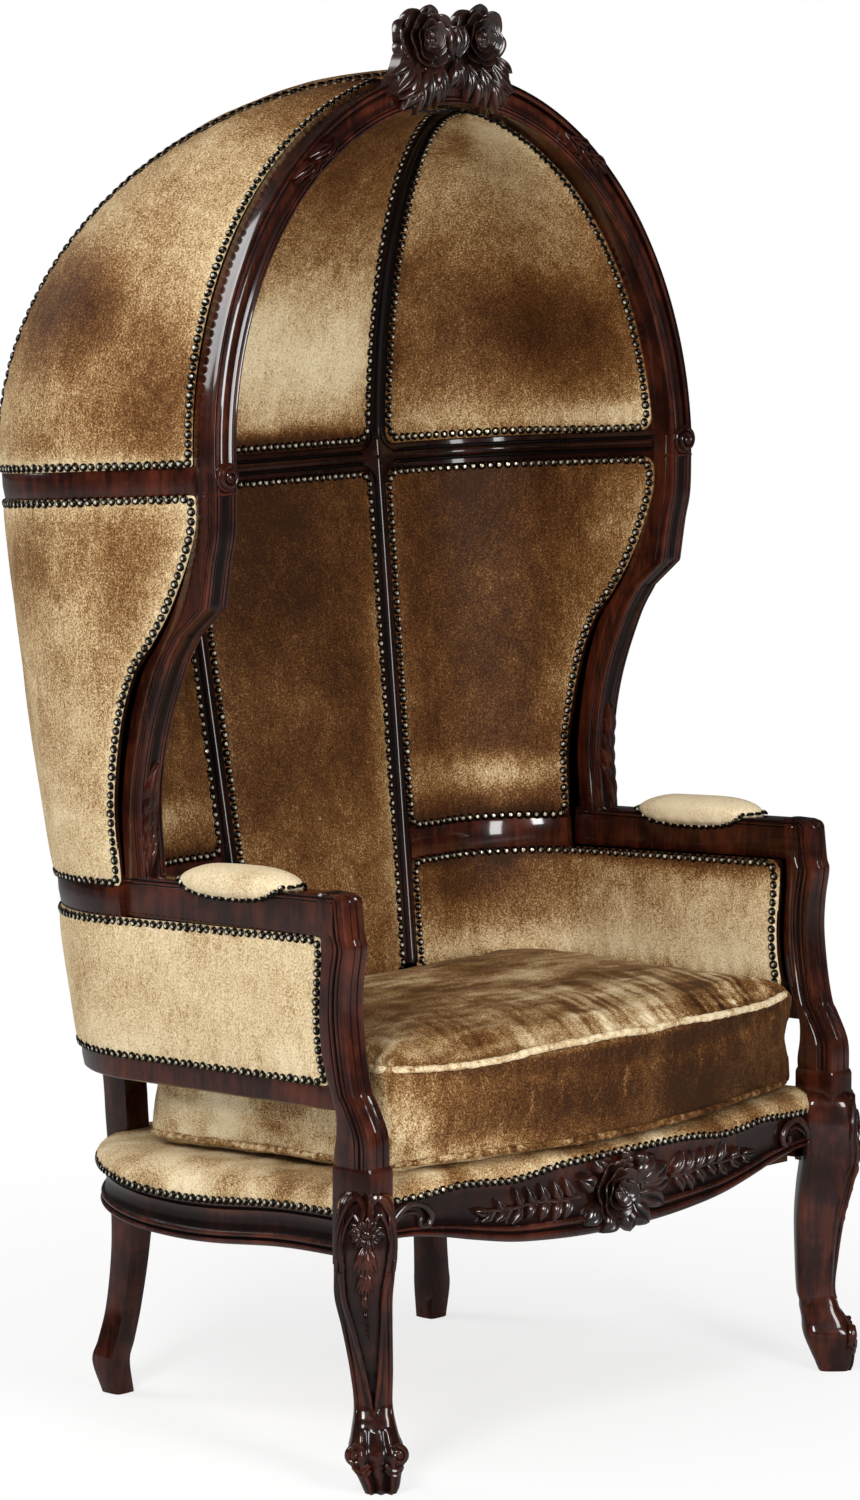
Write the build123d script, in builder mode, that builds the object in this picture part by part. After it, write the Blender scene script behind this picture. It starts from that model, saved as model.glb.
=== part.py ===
from build123d import *
from math import asin, atan2, cos, degrees, hypot, pi, radians, sin, sqrt
import os

# Hall porter chair: a hooded armchair with a carved wooden frame, a bent hood and a loose cushion.
# Lengths are in millimetres. The chair faces -Y and stands on Z = 0. X = 0 is its plane of symmetry,
# and Y = 0 is half way between the rose on the apron and the outside of the back.
# Right is the +X side, which is on the right of someone who stands in front of the chair.

# Overall heights and depth
crest_height = 1700.0
belt_height = 1151.0
arm_height = 689.0
deck_height = 348.0
lower_rail_rise = 119.0
lower_rail_height = deck_height + lower_rail_rise

# Frame of the opening: two wing posts and an arch
frame_outer_x = 425.0
frame_width = 38.0
frame_depth = 35.0
wing_foot_y = 41.5
wing_foot_drop = 13.0
wing_foot_height = arm_height - wing_foot_drop
wing_reach = 126.0
arch_foot_rise = 9.0
arch_foot_height = belt_height + arch_foot_rise
arch_front_y = -79.5
crest_rise_above_arch = 80.0
arch_height = crest_height - crest_rise_above_arch
arch_rise = arch_height - arch_foot_height
arch_lean = 26.0
arch_thickness = 40.0

# Plan of the outside of the body, with round rear corners
outer_corner_x = 219.0
outer_corner_y = 71.0
outer_corner_radius = 200.0
outer_low_height = 420.0
outer_flare_x = 47.0
outer_flare_y = 90.0
outer_top_height = arch_foot_height
arch_stand_up = 4.0
outer_dome_rise = arch_rise - arch_stand_up
body_front_y = -50.0
arm_front_y = -268.0
arm_outer_x = 431.0
outer_thickness = 20.0
panel_side_thickness = 12.0

# Plan of the inside of the body
inner_corner_x = 235.0
inner_corner_y = 11.0
inner_corner_radius = 135.0
inner_low_height = 480.0
inner_flare_y = 94.0
inner_dome_rise = arch_rise - arch_thickness
inner_front_x = 388.0
inner_thickness = 24.0
inner_side_thickness = 13.0
inner_top_thickness = 13.0
dome_axis_y = -18.5

# Rails that run round the body
belt_band = 33.0
belt_slope = 0.075
arm_band = 38.0
arm_slope = 0.04
arm_rail_depth = 49.0
lower_rail_band = 28.0
lower_rail_slope = 0.03
lower_rail_thickness = 32.0
lower_wall_spare = 24.0
rail_reference_y = -254.0
belt_reference_y = -53.5
stile_split_x = 335.0
arm_rail_rear_y = 82.0

# Ribs inside and outside
rib_width = 28.0
rib_depth = 32.0
rib_proud = 8.0
back_rib_low_x = 147.0
back_rib_top_x = 178.0
back_rib_low_y = 138.8
back_rib_top_y = 230.5
dome_rib_foot_x = 183.0
dome_rib_foot_y = 240.5
dome_rib_top_x = 45.0
dome_rib_top_y = -28.5
outer_rib_foot_x = 411.0
outer_rib_foot_y = 294.5
outer_rib_top_x = 50.0
outer_rib_top_y = -28.5
outer_rib_width = 30.0

# Arm posts, arms and pads
post_outer_x = 437.0
post_width = 38.0
post_front_y = -293.0
post_reach = 44.0
post_foot_rise = 28.0
post_foot_height = deck_height + post_foot_rise
pad_length = 190.0
pad_rear_y = -12.0
pad_thickness = 26.0
pad_overhang = 3.0
pad_drop = 14.0

# Seat frame
seat_corner_x = 200.0
seat_corner_y = 36.5
seat_corner_radius = 220.0
seat_front_y = -287.0
seat_front_x = 426.0
seat_rail_thickness = 40.0
seat_rail_height = 54.0
seat_rail_front_drop = 26.0
seat_rail_middle_drop = 44.0
seat_rail_rear_drop = 30.0
seat_rail_front_top = deck_height - seat_rail_front_drop
seat_rail_middle_top = deck_height - seat_rail_middle_drop
seat_rail_rear_top = deck_height - seat_rail_rear_drop
front_rail_drop = 10.0
front_rail_top = deck_height - front_rail_drop
front_rail_bow = 31.0
front_rail_face_y = -343.5
front_rail_thickness = 36.0
front_rail_half_span = 384.0
apron_drop = 92.0
rose_half_width = 68.0
rose_half_height = 54.0
rose_drop = 51.0
carving_proud = 9.0
deck_slope = 0.044
deck_reference_y = -118.5
deck_margin = 4.0
deck_edge_drop = 48.0
deck_edge_height = deck_height - deck_edge_drop
block_size = 58.0
block_height = 36.0
block_gap = 0.3
block_front_gap = 1.2
webbing_end_gap = 3.0
webbing_width = 50.0
webbing_thickness = 2.5
webbing_pitch = 92.0

# Legs
front_leg_x = 413.0
front_leg_y = -322.0
front_leg_size = 49.0
rear_leg_x = 268.0
rear_leg_y = 228.5
rear_leg_size = 34.0
rear_leg_splay_x = 17.0
rear_leg_splay_y = 12.0
stile_size = 40.0
stile_bend_drop = 17.0
stile_low_height = lower_rail_height - stile_bend_drop
stile_low_x = 287.0
stile_low_y = 229.0
stile_top_x = 374.0
stile_top_y = 275.0
stile_top_drop = 21.0
stile_top_height = belt_height - stile_top_drop
leg_block_size = 44.0

# Crest of two roses over the arch
crest_half_width = 122.0
crest_rose_radius = 44.0
crest_rose_x = 48.0
crest_rose_proud = 26.0
crest_leaf_proud = 12.0
crest_leaf_drop = 42.0

# Loose seat cushion
cushion_front_x = 373.0
cushion_front_y = -299.0
cushion_front_bow = 58.0
cushion_corner_x = 297.0
cushion_corner_y = 76.0
cushion_corner_radius = 66.0
cushion_thickness = 139.0
cushion_height = deck_height + cushion_thickness
cushion_crown = 17.0
cushion_draw_in = 7.0

# Foot of the inside panels, just above the edge of the cushion
skirt_gap = 5.0
skirt_height = cushion_height + skirt_gap
back_rib_foot_gap = 2.0
back_rib_low_height = skirt_height + back_rib_foot_gap

# Small clearances, the overrun of cutting tools, and turns in degrees
quarter_turn = 90
cushion_gap = 0.4
overrun = 12.0
joint_gap = 0.3

os.makedirs("parts", exist_ok=True)


def save(piece, name):
    piece.part.label = name
    export_step(piece.part, f"parts/{name}.step")


def save_pair(piece, name):
    """Writes a right-hand piece and its mirror image."""
    save(piece, name + "_right")
    with BuildPart() as other:
        mirror(piece.part, about=Plane.YZ, mode=Mode.ADD)
    save(other, name + "_left")


def between(low, high, share):
    return low + (high - low) * share


lower_wall_height = lower_rail_height - lower_rail_band - lower_wall_spare

# Plan outlines of the body

def side_tangent(front, corner, radius):
    """The point where a line from the front point meets the round rear corner."""
    run = hypot(corner[0] - front[0], corner[1] - front[1])
    turn = atan2(corner[1] - front[1], corner[0] - front[0]) - asin(radius / run)
    reach = sqrt(run ** 2 - radius ** 2)
    return front[0] + reach * cos(turn), front[1] + reach * sin(turn)


def plan_outline(front, corner, radius):
    """Draws a straight front, splayed sides, round rear corners and a flat back."""
    touch = side_tangent(front, corner, radius)
    start = atan2(touch[1] - corner[1], touch[0] - corner[0])
    middle = (start + pi / 2) / 2
    bend = corner[0] + radius * cos(middle), corner[1] + radius * sin(middle)
    back = corner[0], corner[1] + radius
    Line((-front[0], front[1]), front)
    Line(front, touch)
    ThreePointArc(touch, bend, back)
    Line(back, (-back[0], back[1]))
    ThreePointArc((-back[0], back[1]), (-bend[0], bend[1]), (-touch[0], touch[1]))
    Line((-touch[0], touch[1]), (-front[0], front[1]))


def stacked_body(levels):
    """Joins plan outlines, each given as a height, a front point, a corner centre and a radius."""
    with BuildPart() as body:
        for height, front, corner, radius in levels:
            with BuildSketch(Plane.XY.offset(height)):
                with BuildLine():
                    plan_outline(front, corner, radius)
                make_face()
        loft(ruled=True)
    return body.part


dome_steps = (14, 27, 39, 50, 60, 69, 77, 84)


def dome_levels(front, corner, radius, height, rise):
    """Plan outlines that shrink towards the top of the hood as an ellipse does."""
    levels = []
    for angle in dome_steps:
        share = cos(radians(angle))
        levels.append((
            height + rise * sin(radians(angle)),
            (front[0] * share, between(dome_axis_y, front[1], share)),
            (corner[0] * share, between(dome_axis_y, corner[1], share)),
            radius * share,
        ))
    return levels


def outer_corner_at(height):
    share = (height - outer_low_height) / (outer_top_height - outer_low_height)
    return outer_corner_x + outer_flare_x * share, outer_corner_y + outer_flare_y * share


def inner_corner_at(height):
    share = (height - inner_low_height) / (outer_top_height - inner_low_height)
    return inner_corner_x, inner_corner_y + inner_flare_y * share


def outer_body(depth, side_depth, spare):
    """The outside of the wings and hood, moved in by a depth."""
    front = frame_outer_x - side_depth, body_front_y - spare
    radius = outer_corner_radius - depth
    low = wing_foot_height - arm_band - arm_rail_depth - spare
    levels = [(low, front, outer_corner_at(low), radius)]
    levels.append((outer_top_height, front, outer_corner_at(outer_top_height), radius))
    top = outer_corner_at(outer_top_height)
    levels += dome_levels(front, top, radius, outer_top_height, outer_dome_rise - depth)
    return stacked_body(levels)


def inner_body(depth, side_depth, top_depth, spare):
    """The inside of the wings and hood, moved out by a depth."""
    front = inner_front_x + side_depth, body_front_y - spare
    radius = inner_corner_radius + depth
    low = skirt_height - spare
    levels = [(low, front, inner_corner_at(low), radius)]
    levels.append((outer_top_height, front, inner_corner_at(outer_top_height), radius))
    top = inner_corner_at(outer_top_height)
    levels += dome_levels(front, top, radius, outer_top_height, inner_dome_rise + top_depth)
    return stacked_body(levels)


def outer_back(depth, spare):
    """The outside of the whole back below the hood, moved in by a depth."""
    front = arm_outer_x - depth, arm_front_y - spare
    radius = outer_corner_radius - depth
    low, high = lower_wall_height - spare, outer_top_height + spare
    return stacked_body([(z, front, outer_corner_at(z), radius) for z in (low, high)])


def outer_arms(depth, spare):
    """The outside of the body below the arms, moved in by a depth."""
    front = arm_outer_x - depth, arm_front_y - spare
    radius = outer_corner_radius - depth
    low, high = lower_wall_height - spare, arm_height + spare
    return stacked_body([(z, front, outer_corner_at(z), radius) for z in (low, high)])


def inner_arms(depth, side_depth, spare):
    """The inside of the body below the arms, moved out by a depth."""
    front = inner_front_x + side_depth, arm_front_y - spare
    radius = inner_corner_radius + depth
    low, high = skirt_height - spare, arm_height + spare
    return stacked_body([(z, front, inner_corner_at(z), radius) for z in (low, high)])


def wall(outside, inside):
    with BuildPart() as shell:
        add(outside)
        add(inside, mode=Mode.SUBTRACT)
    return shell.part


outer_wall = wall(
    outer_body(0, 0, 0),
    outer_body(outer_thickness, panel_side_thickness, overrun),
)
inner_wall = wall(
    inner_body(inner_thickness, inner_side_thickness, inner_top_thickness, 0),
    inner_body(0, 0, 0, overrun),
)
outer_back_wall = wall(outer_back(0, 0), outer_back(outer_thickness, overrun))
outer_arm_wall = wall(outer_arms(0, 0), outer_arms(outer_thickness, overrun))
lower_rail_wall = wall(outer_arms(0, 0), outer_arms(lower_rail_thickness, overrun))
inner_arm_wall = wall(
    inner_arms(inner_thickness, inner_side_thickness, 0),
    inner_arms(0, 0, overrun),
)

# Planes that divide the body

belt_top = Plane(
    (0, belt_reference_y, belt_height + belt_band / 2), z_dir=(0, belt_slope, 1)
)
belt_bottom = Plane(
    (0, belt_reference_y, belt_height - belt_band / 2), z_dir=(0, belt_slope, 1)
)
arm_bottom = Plane(
    (0, rail_reference_y, arm_height - arm_rail_depth), z_dir=(0, arm_slope, 1)
)
arm_band_top = Plane(
    (0, rail_reference_y, arm_height - arm_rail_depth + arm_band), z_dir=(0, arm_slope, 1)
)
lower_top = Plane((0, rail_reference_y, lower_rail_height), z_dir=(0, lower_rail_slope, 1))
lower_bottom = Plane(
    (0, rail_reference_y, lower_rail_height - lower_rail_band), z_dir=(0, lower_rail_slope, 1)
)
arch_tilt = atan2(arch_lean, arch_rise)
arch_plane = Plane(
    (0, arch_front_y, arch_foot_height),
    x_dir=(1, 0, 0),
    z_dir=(0, -cos(arch_tilt), sin(arch_tilt)),
)
arch_rear = arch_plane.offset(-frame_depth - joint_gap)


def rib_plane(foot_x, foot_y, top_x, top_y, shift):
    """A vertical plane along a rib, moved sideways, with its normal towards the chair's side."""
    run = hypot(foot_x - top_x, foot_y - top_y)
    normal = ((foot_y - top_y) / run, -(foot_x - top_x) / run, 0)
    return Plane((top_x + normal[0] * shift, top_y + normal[1] * shift, 0), z_dir=normal)


def dome_rib_side(shift):
    return rib_plane(dome_rib_foot_x, dome_rib_foot_y, dome_rib_top_x, dome_rib_top_y, shift)


def outer_rib_side(shift):
    return rib_plane(outer_rib_foot_x, outer_rib_foot_y, outer_rib_top_x, outer_rib_top_y, shift)


def mirrored_plane(plane):
    origin, normal = plane.origin, plane.z_dir
    return Plane((-origin.X, origin.Y, origin.Z), z_dir=(-normal.X, normal.Y, normal.Z))


back_rib_rise = belt_height - back_rib_low_height
back_rib_spread = back_rib_top_x - back_rib_low_x


def back_rib_side(shift):
    """A plane along a rib of the back, which leans outwards, moved sideways."""
    run = hypot(back_rib_rise, back_rib_spread)
    normal = (back_rib_rise / run, 0, -back_rib_spread / run)
    start = back_rib_low_x + normal[0] * shift, 0, back_rib_low_height + normal[2] * shift
    return Plane(start, z_dir=normal)


stile_plane = Plane((stile_split_x, 0, 0), z_dir=(1, 0, 0))

# Frame of the opening

wing_front_shares = ((0, 0), (-0.048, 0.177), (0.056, 0.348), (0.302, 0.516), (0.5, 0.601))
ear_shares = ((0.821, 0.671), (0.889, 0.78), (0.952, 0.86), (0.96, 1))
wing_rear_shares = (
    (0.679, 1), (0.706, 0.877), (0.587, 0.774), (0.389, 0.66), (0.183, 0.576),
    (-0.008, 0.508), (-0.183, 0.379), (-0.302, 0.177), (-0.27, 0),
)
wing_rise = arch_foot_height - wing_foot_height


def wing_points(shares):
    return [(wing_foot_y - y * wing_reach, wing_foot_height + z * wing_rise) for y, z in shares]


with BuildPart() as wing_post:
    with BuildSketch(Plane.YZ.offset(frame_outer_x - frame_width)):
        with BuildLine():
            shoulder = wing_points(wing_front_shares)
            ear = wing_points(ear_shares)
            rear = wing_points(wing_rear_shares)
            Spline(*shoulder)
            Line(shoulder[-1], ear[0])
            Spline(*ear)
            Line(ear[-1], rear[0])
            Spline(*rear)
            Line(rear[-1], shoulder[0])
        make_face()
    extrude(amount=frame_width)
save_pair(wing_post, "wing_post")

# Everything in front of the rear of the wings, as a cutting tool for the panels
with BuildPart() as wing_clearance:
    with BuildSketch(Plane.YZ.offset(-frame_outer_x * 2)):
        with BuildLine():
            rear = [(y + joint_gap, z) for y, z in wing_points(wing_rear_shares)]
            front_edge = arm_front_y - overrun * 2
            Spline(*rear)
            Polyline(
                rear[-1],
                (rear[-1][0], wing_foot_height - arm_rail_depth * 2),
                (front_edge, wing_foot_height - arm_rail_depth * 2),
                (front_edge, arch_foot_height + arch_thickness),
                (rear[0][0], arch_foot_height + arch_thickness),
                rear[0],
            )
        make_face()
    extrude(amount=frame_outer_x * 4)

with BuildPart() as arch:
    with BuildSketch(arch_plane):
        with BuildLine():
            EllipticalCenterArc((0, 0), frame_outer_x, arch_rise, arc_size=quarter_turn)
            Line((0, arch_rise), (0, arch_rise - arch_thickness))
            EllipticalCenterArc(
                (0, 0), frame_outer_x - frame_width, arch_rise - arch_thickness, arc_size=quarter_turn
            )
            Line((frame_outer_x - frame_width, 0), (frame_outer_x, 0))
        make_face()
    extrude(amount=-frame_depth)
    split(bisect_by=Plane.XY.offset(arch_foot_height), keep=Keep.TOP)
save_pair(arch, "arch")

crest_outline_shares = (
    (0, 1), (0.3, 1.04), (0.62, 1.0), (0.86, 0.62), (1.0, 0.2), (0.96, 0.0), (0.74, 0.12),
    (0.5, 0.06), (0.3, 0.26), (0.12, 0.16), (0, 0.3),
)
crest_base = arch_height - crest_leaf_drop
crest_rose_z = crest_height - crest_rose_radius
crest_rise = crest_rose_z - crest_base
crest_front_y = arch_front_y + arch_lean - crest_leaf_proud

with BuildPart() as crest:
    with BuildSketch(Plane.XZ.offset(-crest_front_y)):
        with BuildLine():
            edge = [
                (x * crest_half_width, crest_base + z * crest_rise)
                for x, z in crest_outline_shares
            ]
            Polyline(*edge)
            Polyline(*[(-x, z) for x, z in edge])
        make_face()
    extrude(amount=-crest_leaf_proud - frame_depth)
    with BuildSketch(Plane.XZ.offset(-crest_front_y + crest_rose_proud - crest_leaf_proud)):
        with Locations((-crest_rose_x, crest_rose_z), (crest_rose_x, crest_rose_z)):
            Circle(crest_rose_radius)
    extrude(amount=-crest_rose_proud - frame_depth / 2)
    add(arch.part, mode=Mode.SUBTRACT)
    add(mirror(arch.part, about=Plane.YZ, mode=Mode.PRIVATE), mode=Mode.SUBTRACT)
    split(bisect_by=arch_rear, keep=Keep.TOP)
save(crest, "crest")

# Rear legs, each running up the back as a stile

rear_leg_levels = (
    (0, 1, 1, 0.86), (0.12, 0.95, 0.85, 0.94), (0.34, 0.5, 0.35, 1.0), (0.66, 0.1, 0.05, 1.08),
    (1, 0, 0, 1.18),
)
seat_frame_low = seat_rail_middle_top - seat_rail_height

with BuildPart() as rear_leg:
    for height, splay_x, splay_y, size in rear_leg_levels:
        with BuildSketch(Plane.XY.offset(height * seat_frame_low)):
            with Locations((
                rear_leg_x + splay_x * rear_leg_splay_x,
                rear_leg_y + splay_y * rear_leg_splay_y,
            )):
                Rectangle(size * rear_leg_size, size * rear_leg_size)
    loft(ruled=True)
    with BuildSketch(Plane.XY.offset(seat_frame_low)):
        with Locations((rear_leg_x, rear_leg_y)):
            Rectangle(stile_size, stile_size)
    with BuildSketch(Plane.XY.offset(stile_low_height)):
        with Locations((stile_low_x, stile_low_y)):
            Rectangle(stile_size, stile_size)
    loft(ruled=True)
    with BuildSketch(Plane.XY.offset(stile_low_height)):
        with Locations((stile_low_x, stile_low_y)):
            Rectangle(stile_size, stile_size)
    with BuildSketch(Plane.XY.offset(stile_top_height)):
        with Locations((stile_top_x, stile_top_y)):
            Rectangle(stile_size, stile_size)
    loft(ruled=True)
    split(bisect_by=belt_bottom, keep=Keep.BOTTOM)
save_pair(rear_leg, "rear_leg")

# Ribs inside the hood and down the back

dome_rib_run = hypot(dome_rib_foot_x - dome_rib_top_x, dome_rib_foot_y - dome_rib_top_y)
dome_rib_normal = dome_rib_side(0).z_dir

with BuildPart() as dome_rib:
    with BuildSketch(Plane(
        (dome_rib_top_x, dome_rib_top_y, outer_top_height),
        x_dir=dome_rib_normal.cross(Vector(0, 0, 1)) * -1,
        z_dir=dome_rib_normal,
    )):
        with BuildLine():
            outer_run = dome_rib_run + rib_depth - rib_proud
            outer_rise = inner_dome_rise + inner_top_thickness - joint_gap * 4
            inner_run, inner_rise = dome_rib_run - rib_proud, inner_dome_rise - rib_proud
            EllipticalCenterArc((0, 0), outer_run, outer_rise, arc_size=quarter_turn)
            Line((0, outer_rise), (0, inner_rise))
            EllipticalCenterArc((0, 0), inner_run, inner_rise, arc_size=quarter_turn)
            Line((inner_run, 0), (inner_run, -belt_band))
            Line((inner_run, -belt_band), (outer_run, -belt_band))
            Line((outer_run, -belt_band), (outer_run, 0))
        make_face()
    extrude(amount=rib_width / 2, both=True)
    split(bisect_by=arch_rear, keep=Keep.BOTTOM)
    split(bisect_by=belt_top, keep=Keep.TOP)
save_pair(dome_rib, "dome_rib")

with BuildPart() as back_rib:
    for height, x, y in (
        (back_rib_low_height, back_rib_low_x, back_rib_low_y),
        (belt_height + belt_band, between(back_rib_low_x, back_rib_top_x, 1 + belt_band / back_rib_rise),
         between(back_rib_low_y, back_rib_top_y, 1 + belt_band / back_rib_rise)),
    ):
        with BuildSketch(Plane.XY.offset(height)):
            with Locations((x, y + rib_depth / 2 - rib_proud)):
                Rectangle(rib_width, rib_depth)
    loft(ruled=True)
    split(bisect_by=belt_top, keep=Keep.BOTTOM)
save_pair(back_rib, "back_rib")

# Rails, ribs and panels of the wings and hood, which are cut from the two walls


def cut_piece(source, above=None, below=None, behind=None, outside=(), inside=(), less=()):
    """Keeps the part of a wall between planes and takes other pieces out of it."""
    with BuildPart() as piece:
        add(source)
        for plane in [p for p in (above, behind) if p is not None] + list(outside):
            split(bisect_by=plane, keep=Keep.TOP)
        for plane in ([below] if below is not None else []) + list(inside):
            split(bisect_by=plane, keep=Keep.BOTTOM)
        for other in less:
            add(other, mode=Mode.SUBTRACT)
    return piece


def flipped(plane):
    return Plane(plane.origin, z_dir=plane.z_dir * -1)


def other_side(part):
    return mirror(part, about=Plane.YZ, mode=Mode.PRIVATE)


behind_arch = flipped(arch_rear)
rib_clear = rib_width / 2 + joint_gap
outer_rib_clear = outer_rib_width / 2 + joint_gap
belt_above = belt_top.offset(joint_gap)
belt_below = belt_bottom.offset(-joint_gap)
band_above = arm_band_top.offset(joint_gap)
band_below = arm_bottom.offset(-joint_gap)
lower_above = lower_top.offset(joint_gap)
rail_end = Plane((0, arm_rail_rear_y + joint_gap, 0), z_dir=(0, 1, 0))
stiles = (rear_leg.part, other_side(rear_leg.part))
lower_split = Plane((stile_low_x, 0, 0), z_dir=(1, 0, 0))

# Arm rails, which carry the wing posts
arm_top = Plane((0, rail_reference_y, arm_height), z_dir=(0, arm_slope, 1))
rail_front_y = post_front_y + post_reach / 2

post_front_shares = (
    (0.03, 1), (-0.1, 0.853), (-0.19, 0.805), (-0.06, 0.684), (-0.03, 0.556), (-0.17, 0.393),
    (-0.35, 0.278), (-0.53, 0.235), (-0.92, 0.125), (-0.97, 0),
)
post_rear_shares = (
    (0, 0), (-0.08, 0.12), (0.32, 0.22), (0.78, 0.38), (0.92, 0.55), (0.84, 0.8), (1, 1),
)
post_rise = arm_height - post_foot_height


def post_points(shares):
    return [(post_front_y + y * post_reach, post_foot_height + z * post_rise) for y, z in shares]


with BuildPart() as arm_post:
    with BuildSketch(Plane.YZ.offset(post_outer_x - post_width)):
        with BuildLine():
            front = post_points(post_front_shares)
            rear = post_points(post_rear_shares)
            Spline(*front)
            Line(front[-1], rear[0])
            Spline(*rear)
            Line(rear[-1], front[0])
        make_face()
    extrude(amount=post_width)
save_pair(arm_post, "arm_post")

# Everything in front of the rear of the arm posts, as a cutting tool
with BuildPart() as post_clearance:
    with BuildSketch(Plane.YZ.offset(-post_outer_x * 2)):
        with BuildLine():
            rear = [(y + joint_gap, z) for y, z in post_points(post_rear_shares)]
            front_edge = post_front_y - post_reach * 2
            Spline(*rear)
            Polyline(
                rear[-1],
                (rear[-1][0], arm_height + overrun),
                (front_edge, arm_height + overrun),
                (front_edge, post_foot_height - overrun),
                (rear[0][0], post_foot_height - overrun),
                rear[0],
            )
        make_face()
    extrude(amount=post_outer_x * 4)

with BuildPart() as arm_rail:
    with BuildSketch(Plane.XY.offset(lower_rail_height)):
        with BuildLine():
            Polyline(
                (post_outer_x, rail_front_y),
                (frame_outer_x, arm_rail_rear_y),
                (frame_outer_x - frame_width, arm_rail_rear_y),
                (post_outer_x - post_width, rail_front_y),
                (post_outer_x, rail_front_y),
            )
        make_face()
    extrude(amount=belt_height - lower_rail_height)
    split(bisect_by=arm_top, keep=Keep.BOTTOM)
    split(bisect_by=arm_bottom, keep=Keep.TOP)
    add(post_clearance.part, mode=Mode.SUBTRACT)
    add(wing_post.part, mode=Mode.SUBTRACT)
save_pair(arm_rail, "arm_rail")

arm_rails = (arm_rail.part, other_side(arm_rail.part))

belt_outer = cut_piece(
    outer_wall, above=belt_bottom, below=belt_top, outside=(stile_plane,),
    less=(wing_clearance.part,),
)
save_pair(belt_outer, "belt_outer")
belt_outer_back = cut_piece(
    outer_wall, above=belt_bottom, below=belt_top, behind=rail_end,
    inside=(stile_plane, mirrored_plane(stile_plane)),
)
save(belt_outer_back, "belt_outer_back")

outer_rib = cut_piece(
    outer_wall, above=belt_above, behind=behind_arch,
    outside=(outer_rib_side(-outer_rib_width / 2),), inside=(outer_rib_side(outer_rib_width / 2),),
    less=(dome_rib.part,),
)
save_pair(outer_rib, "outer_rib")

hood_outer = cut_piece(
    outer_wall, above=belt_above, behind=behind_arch, outside=(outer_rib_side(outer_rib_clear),),
)
save_pair(hood_outer, "hood_panel_outer")
hood_outer_back = cut_piece(
    outer_wall, above=belt_above, behind=behind_arch,
    inside=(outer_rib_side(-outer_rib_clear), mirrored_plane(outer_rib_side(-outer_rib_clear))),
)
save(hood_outer_back, "hood_panel_outer_back")

wing_outer = cut_piece(
    outer_wall, above=band_above, below=belt_below, outside=(stile_plane,),
    less=(wing_clearance.part, *arm_rails, *stiles),
)
save_pair(wing_outer, "wing_panel_outer")

arm_band_outer = cut_piece(
    outer_wall, above=arm_bottom, below=arm_band_top, behind=rail_end, outside=(stile_plane,),
    less=stiles,
)
save_pair(arm_band_outer, "arm_band_outer")

arm_outer = cut_piece(
    outer_arm_wall, above=lower_above, below=band_below, outside=(stile_plane,),
    less=(post_clearance.part, *stiles),
)
save_pair(arm_outer, "arm_panel_outer")

back_split = stile_plane.offset(-joint_gap)
back_outer = cut_piece(
    outer_back_wall, above=lower_above, below=belt_below, behind=rail_end,
    inside=(back_split, mirrored_plane(back_split)), less=stiles,
)
save(back_outer, "back_panel_outer")

belt_inner = cut_piece(
    inner_wall, above=belt_bottom, below=belt_top, outside=(back_rib_side(rib_clear),),
    less=(wing_clearance.part,),
)
save_pair(belt_inner, "belt_inner")
belt_inner_back = cut_piece(
    inner_wall, above=belt_bottom, below=belt_top, behind=rail_end,
    inside=(back_rib_side(-rib_clear), mirrored_plane(back_rib_side(-rib_clear))),
)
save(belt_inner_back, "belt_inner_back")

hood_inner = cut_piece(
    inner_wall, above=belt_above, behind=behind_arch, outside=(dome_rib_side(rib_clear),),
)
save_pair(hood_inner, "hood_panel_inner")
hood_inner_back = cut_piece(
    inner_wall, above=belt_above, behind=behind_arch,
    inside=(dome_rib_side(-rib_clear), mirrored_plane(dome_rib_side(-rib_clear))),
)
save(hood_inner_back, "hood_panel_inner_back")

wing_inner = cut_piece(
    inner_wall, above=band_above, below=belt_below, outside=(back_rib_side(rib_clear),),
    less=(wing_clearance.part, *arm_rails),
)
save_pair(wing_inner, "wing_panel_inner")

arm_band_inner = cut_piece(
    inner_wall, above=arm_bottom, below=arm_band_top, behind=rail_end,
    outside=(back_rib_side(rib_clear),),
)
save_pair(arm_band_inner, "arm_band_inner")

arm_inner = cut_piece(
    inner_arm_wall, below=band_below, outside=(back_rib_side(rib_clear),),
    less=(post_clearance.part,),
)
save_pair(arm_inner, "arm_panel_inner")

back_inner = cut_piece(
    inner_wall, below=belt_below, behind=rail_end,
    inside=(back_rib_side(-rib_clear), mirrored_plane(back_rib_side(-rib_clear))),
)
save(back_inner, "back_panel_inner")

lower_side_rail = cut_piece(
    lower_rail_wall, above=lower_bottom, below=lower_top, outside=(lower_split,),
    less=(post_clearance.part, *stiles),
)
save_pair(lower_side_rail, "lower_side_rail")
lower_back_rail = cut_piece(
    lower_rail_wall, above=lower_bottom, below=lower_top, behind=rail_end,
    inside=(lower_split, mirrored_plane(lower_split)), less=stiles,
)
save(lower_back_rail, "lower_back_rail")

# Arm pads, which dip over both edges of the arm rails
pad_shares = ((0, 0.45), (0.08, 0.85), (0.3, 1), (0.7, 1), (0.92, 0.85), (1, 0.45))


def rail_middle(y):
    share = (y - rail_front_y) / (arm_rail_rear_y - rail_front_y)
    return between(post_outer_x - post_width / 2, frame_outer_x - frame_width / 2, share)


def rail_top(y):
    return arm_height - arm_slope * (y - rail_reference_y)


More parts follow.
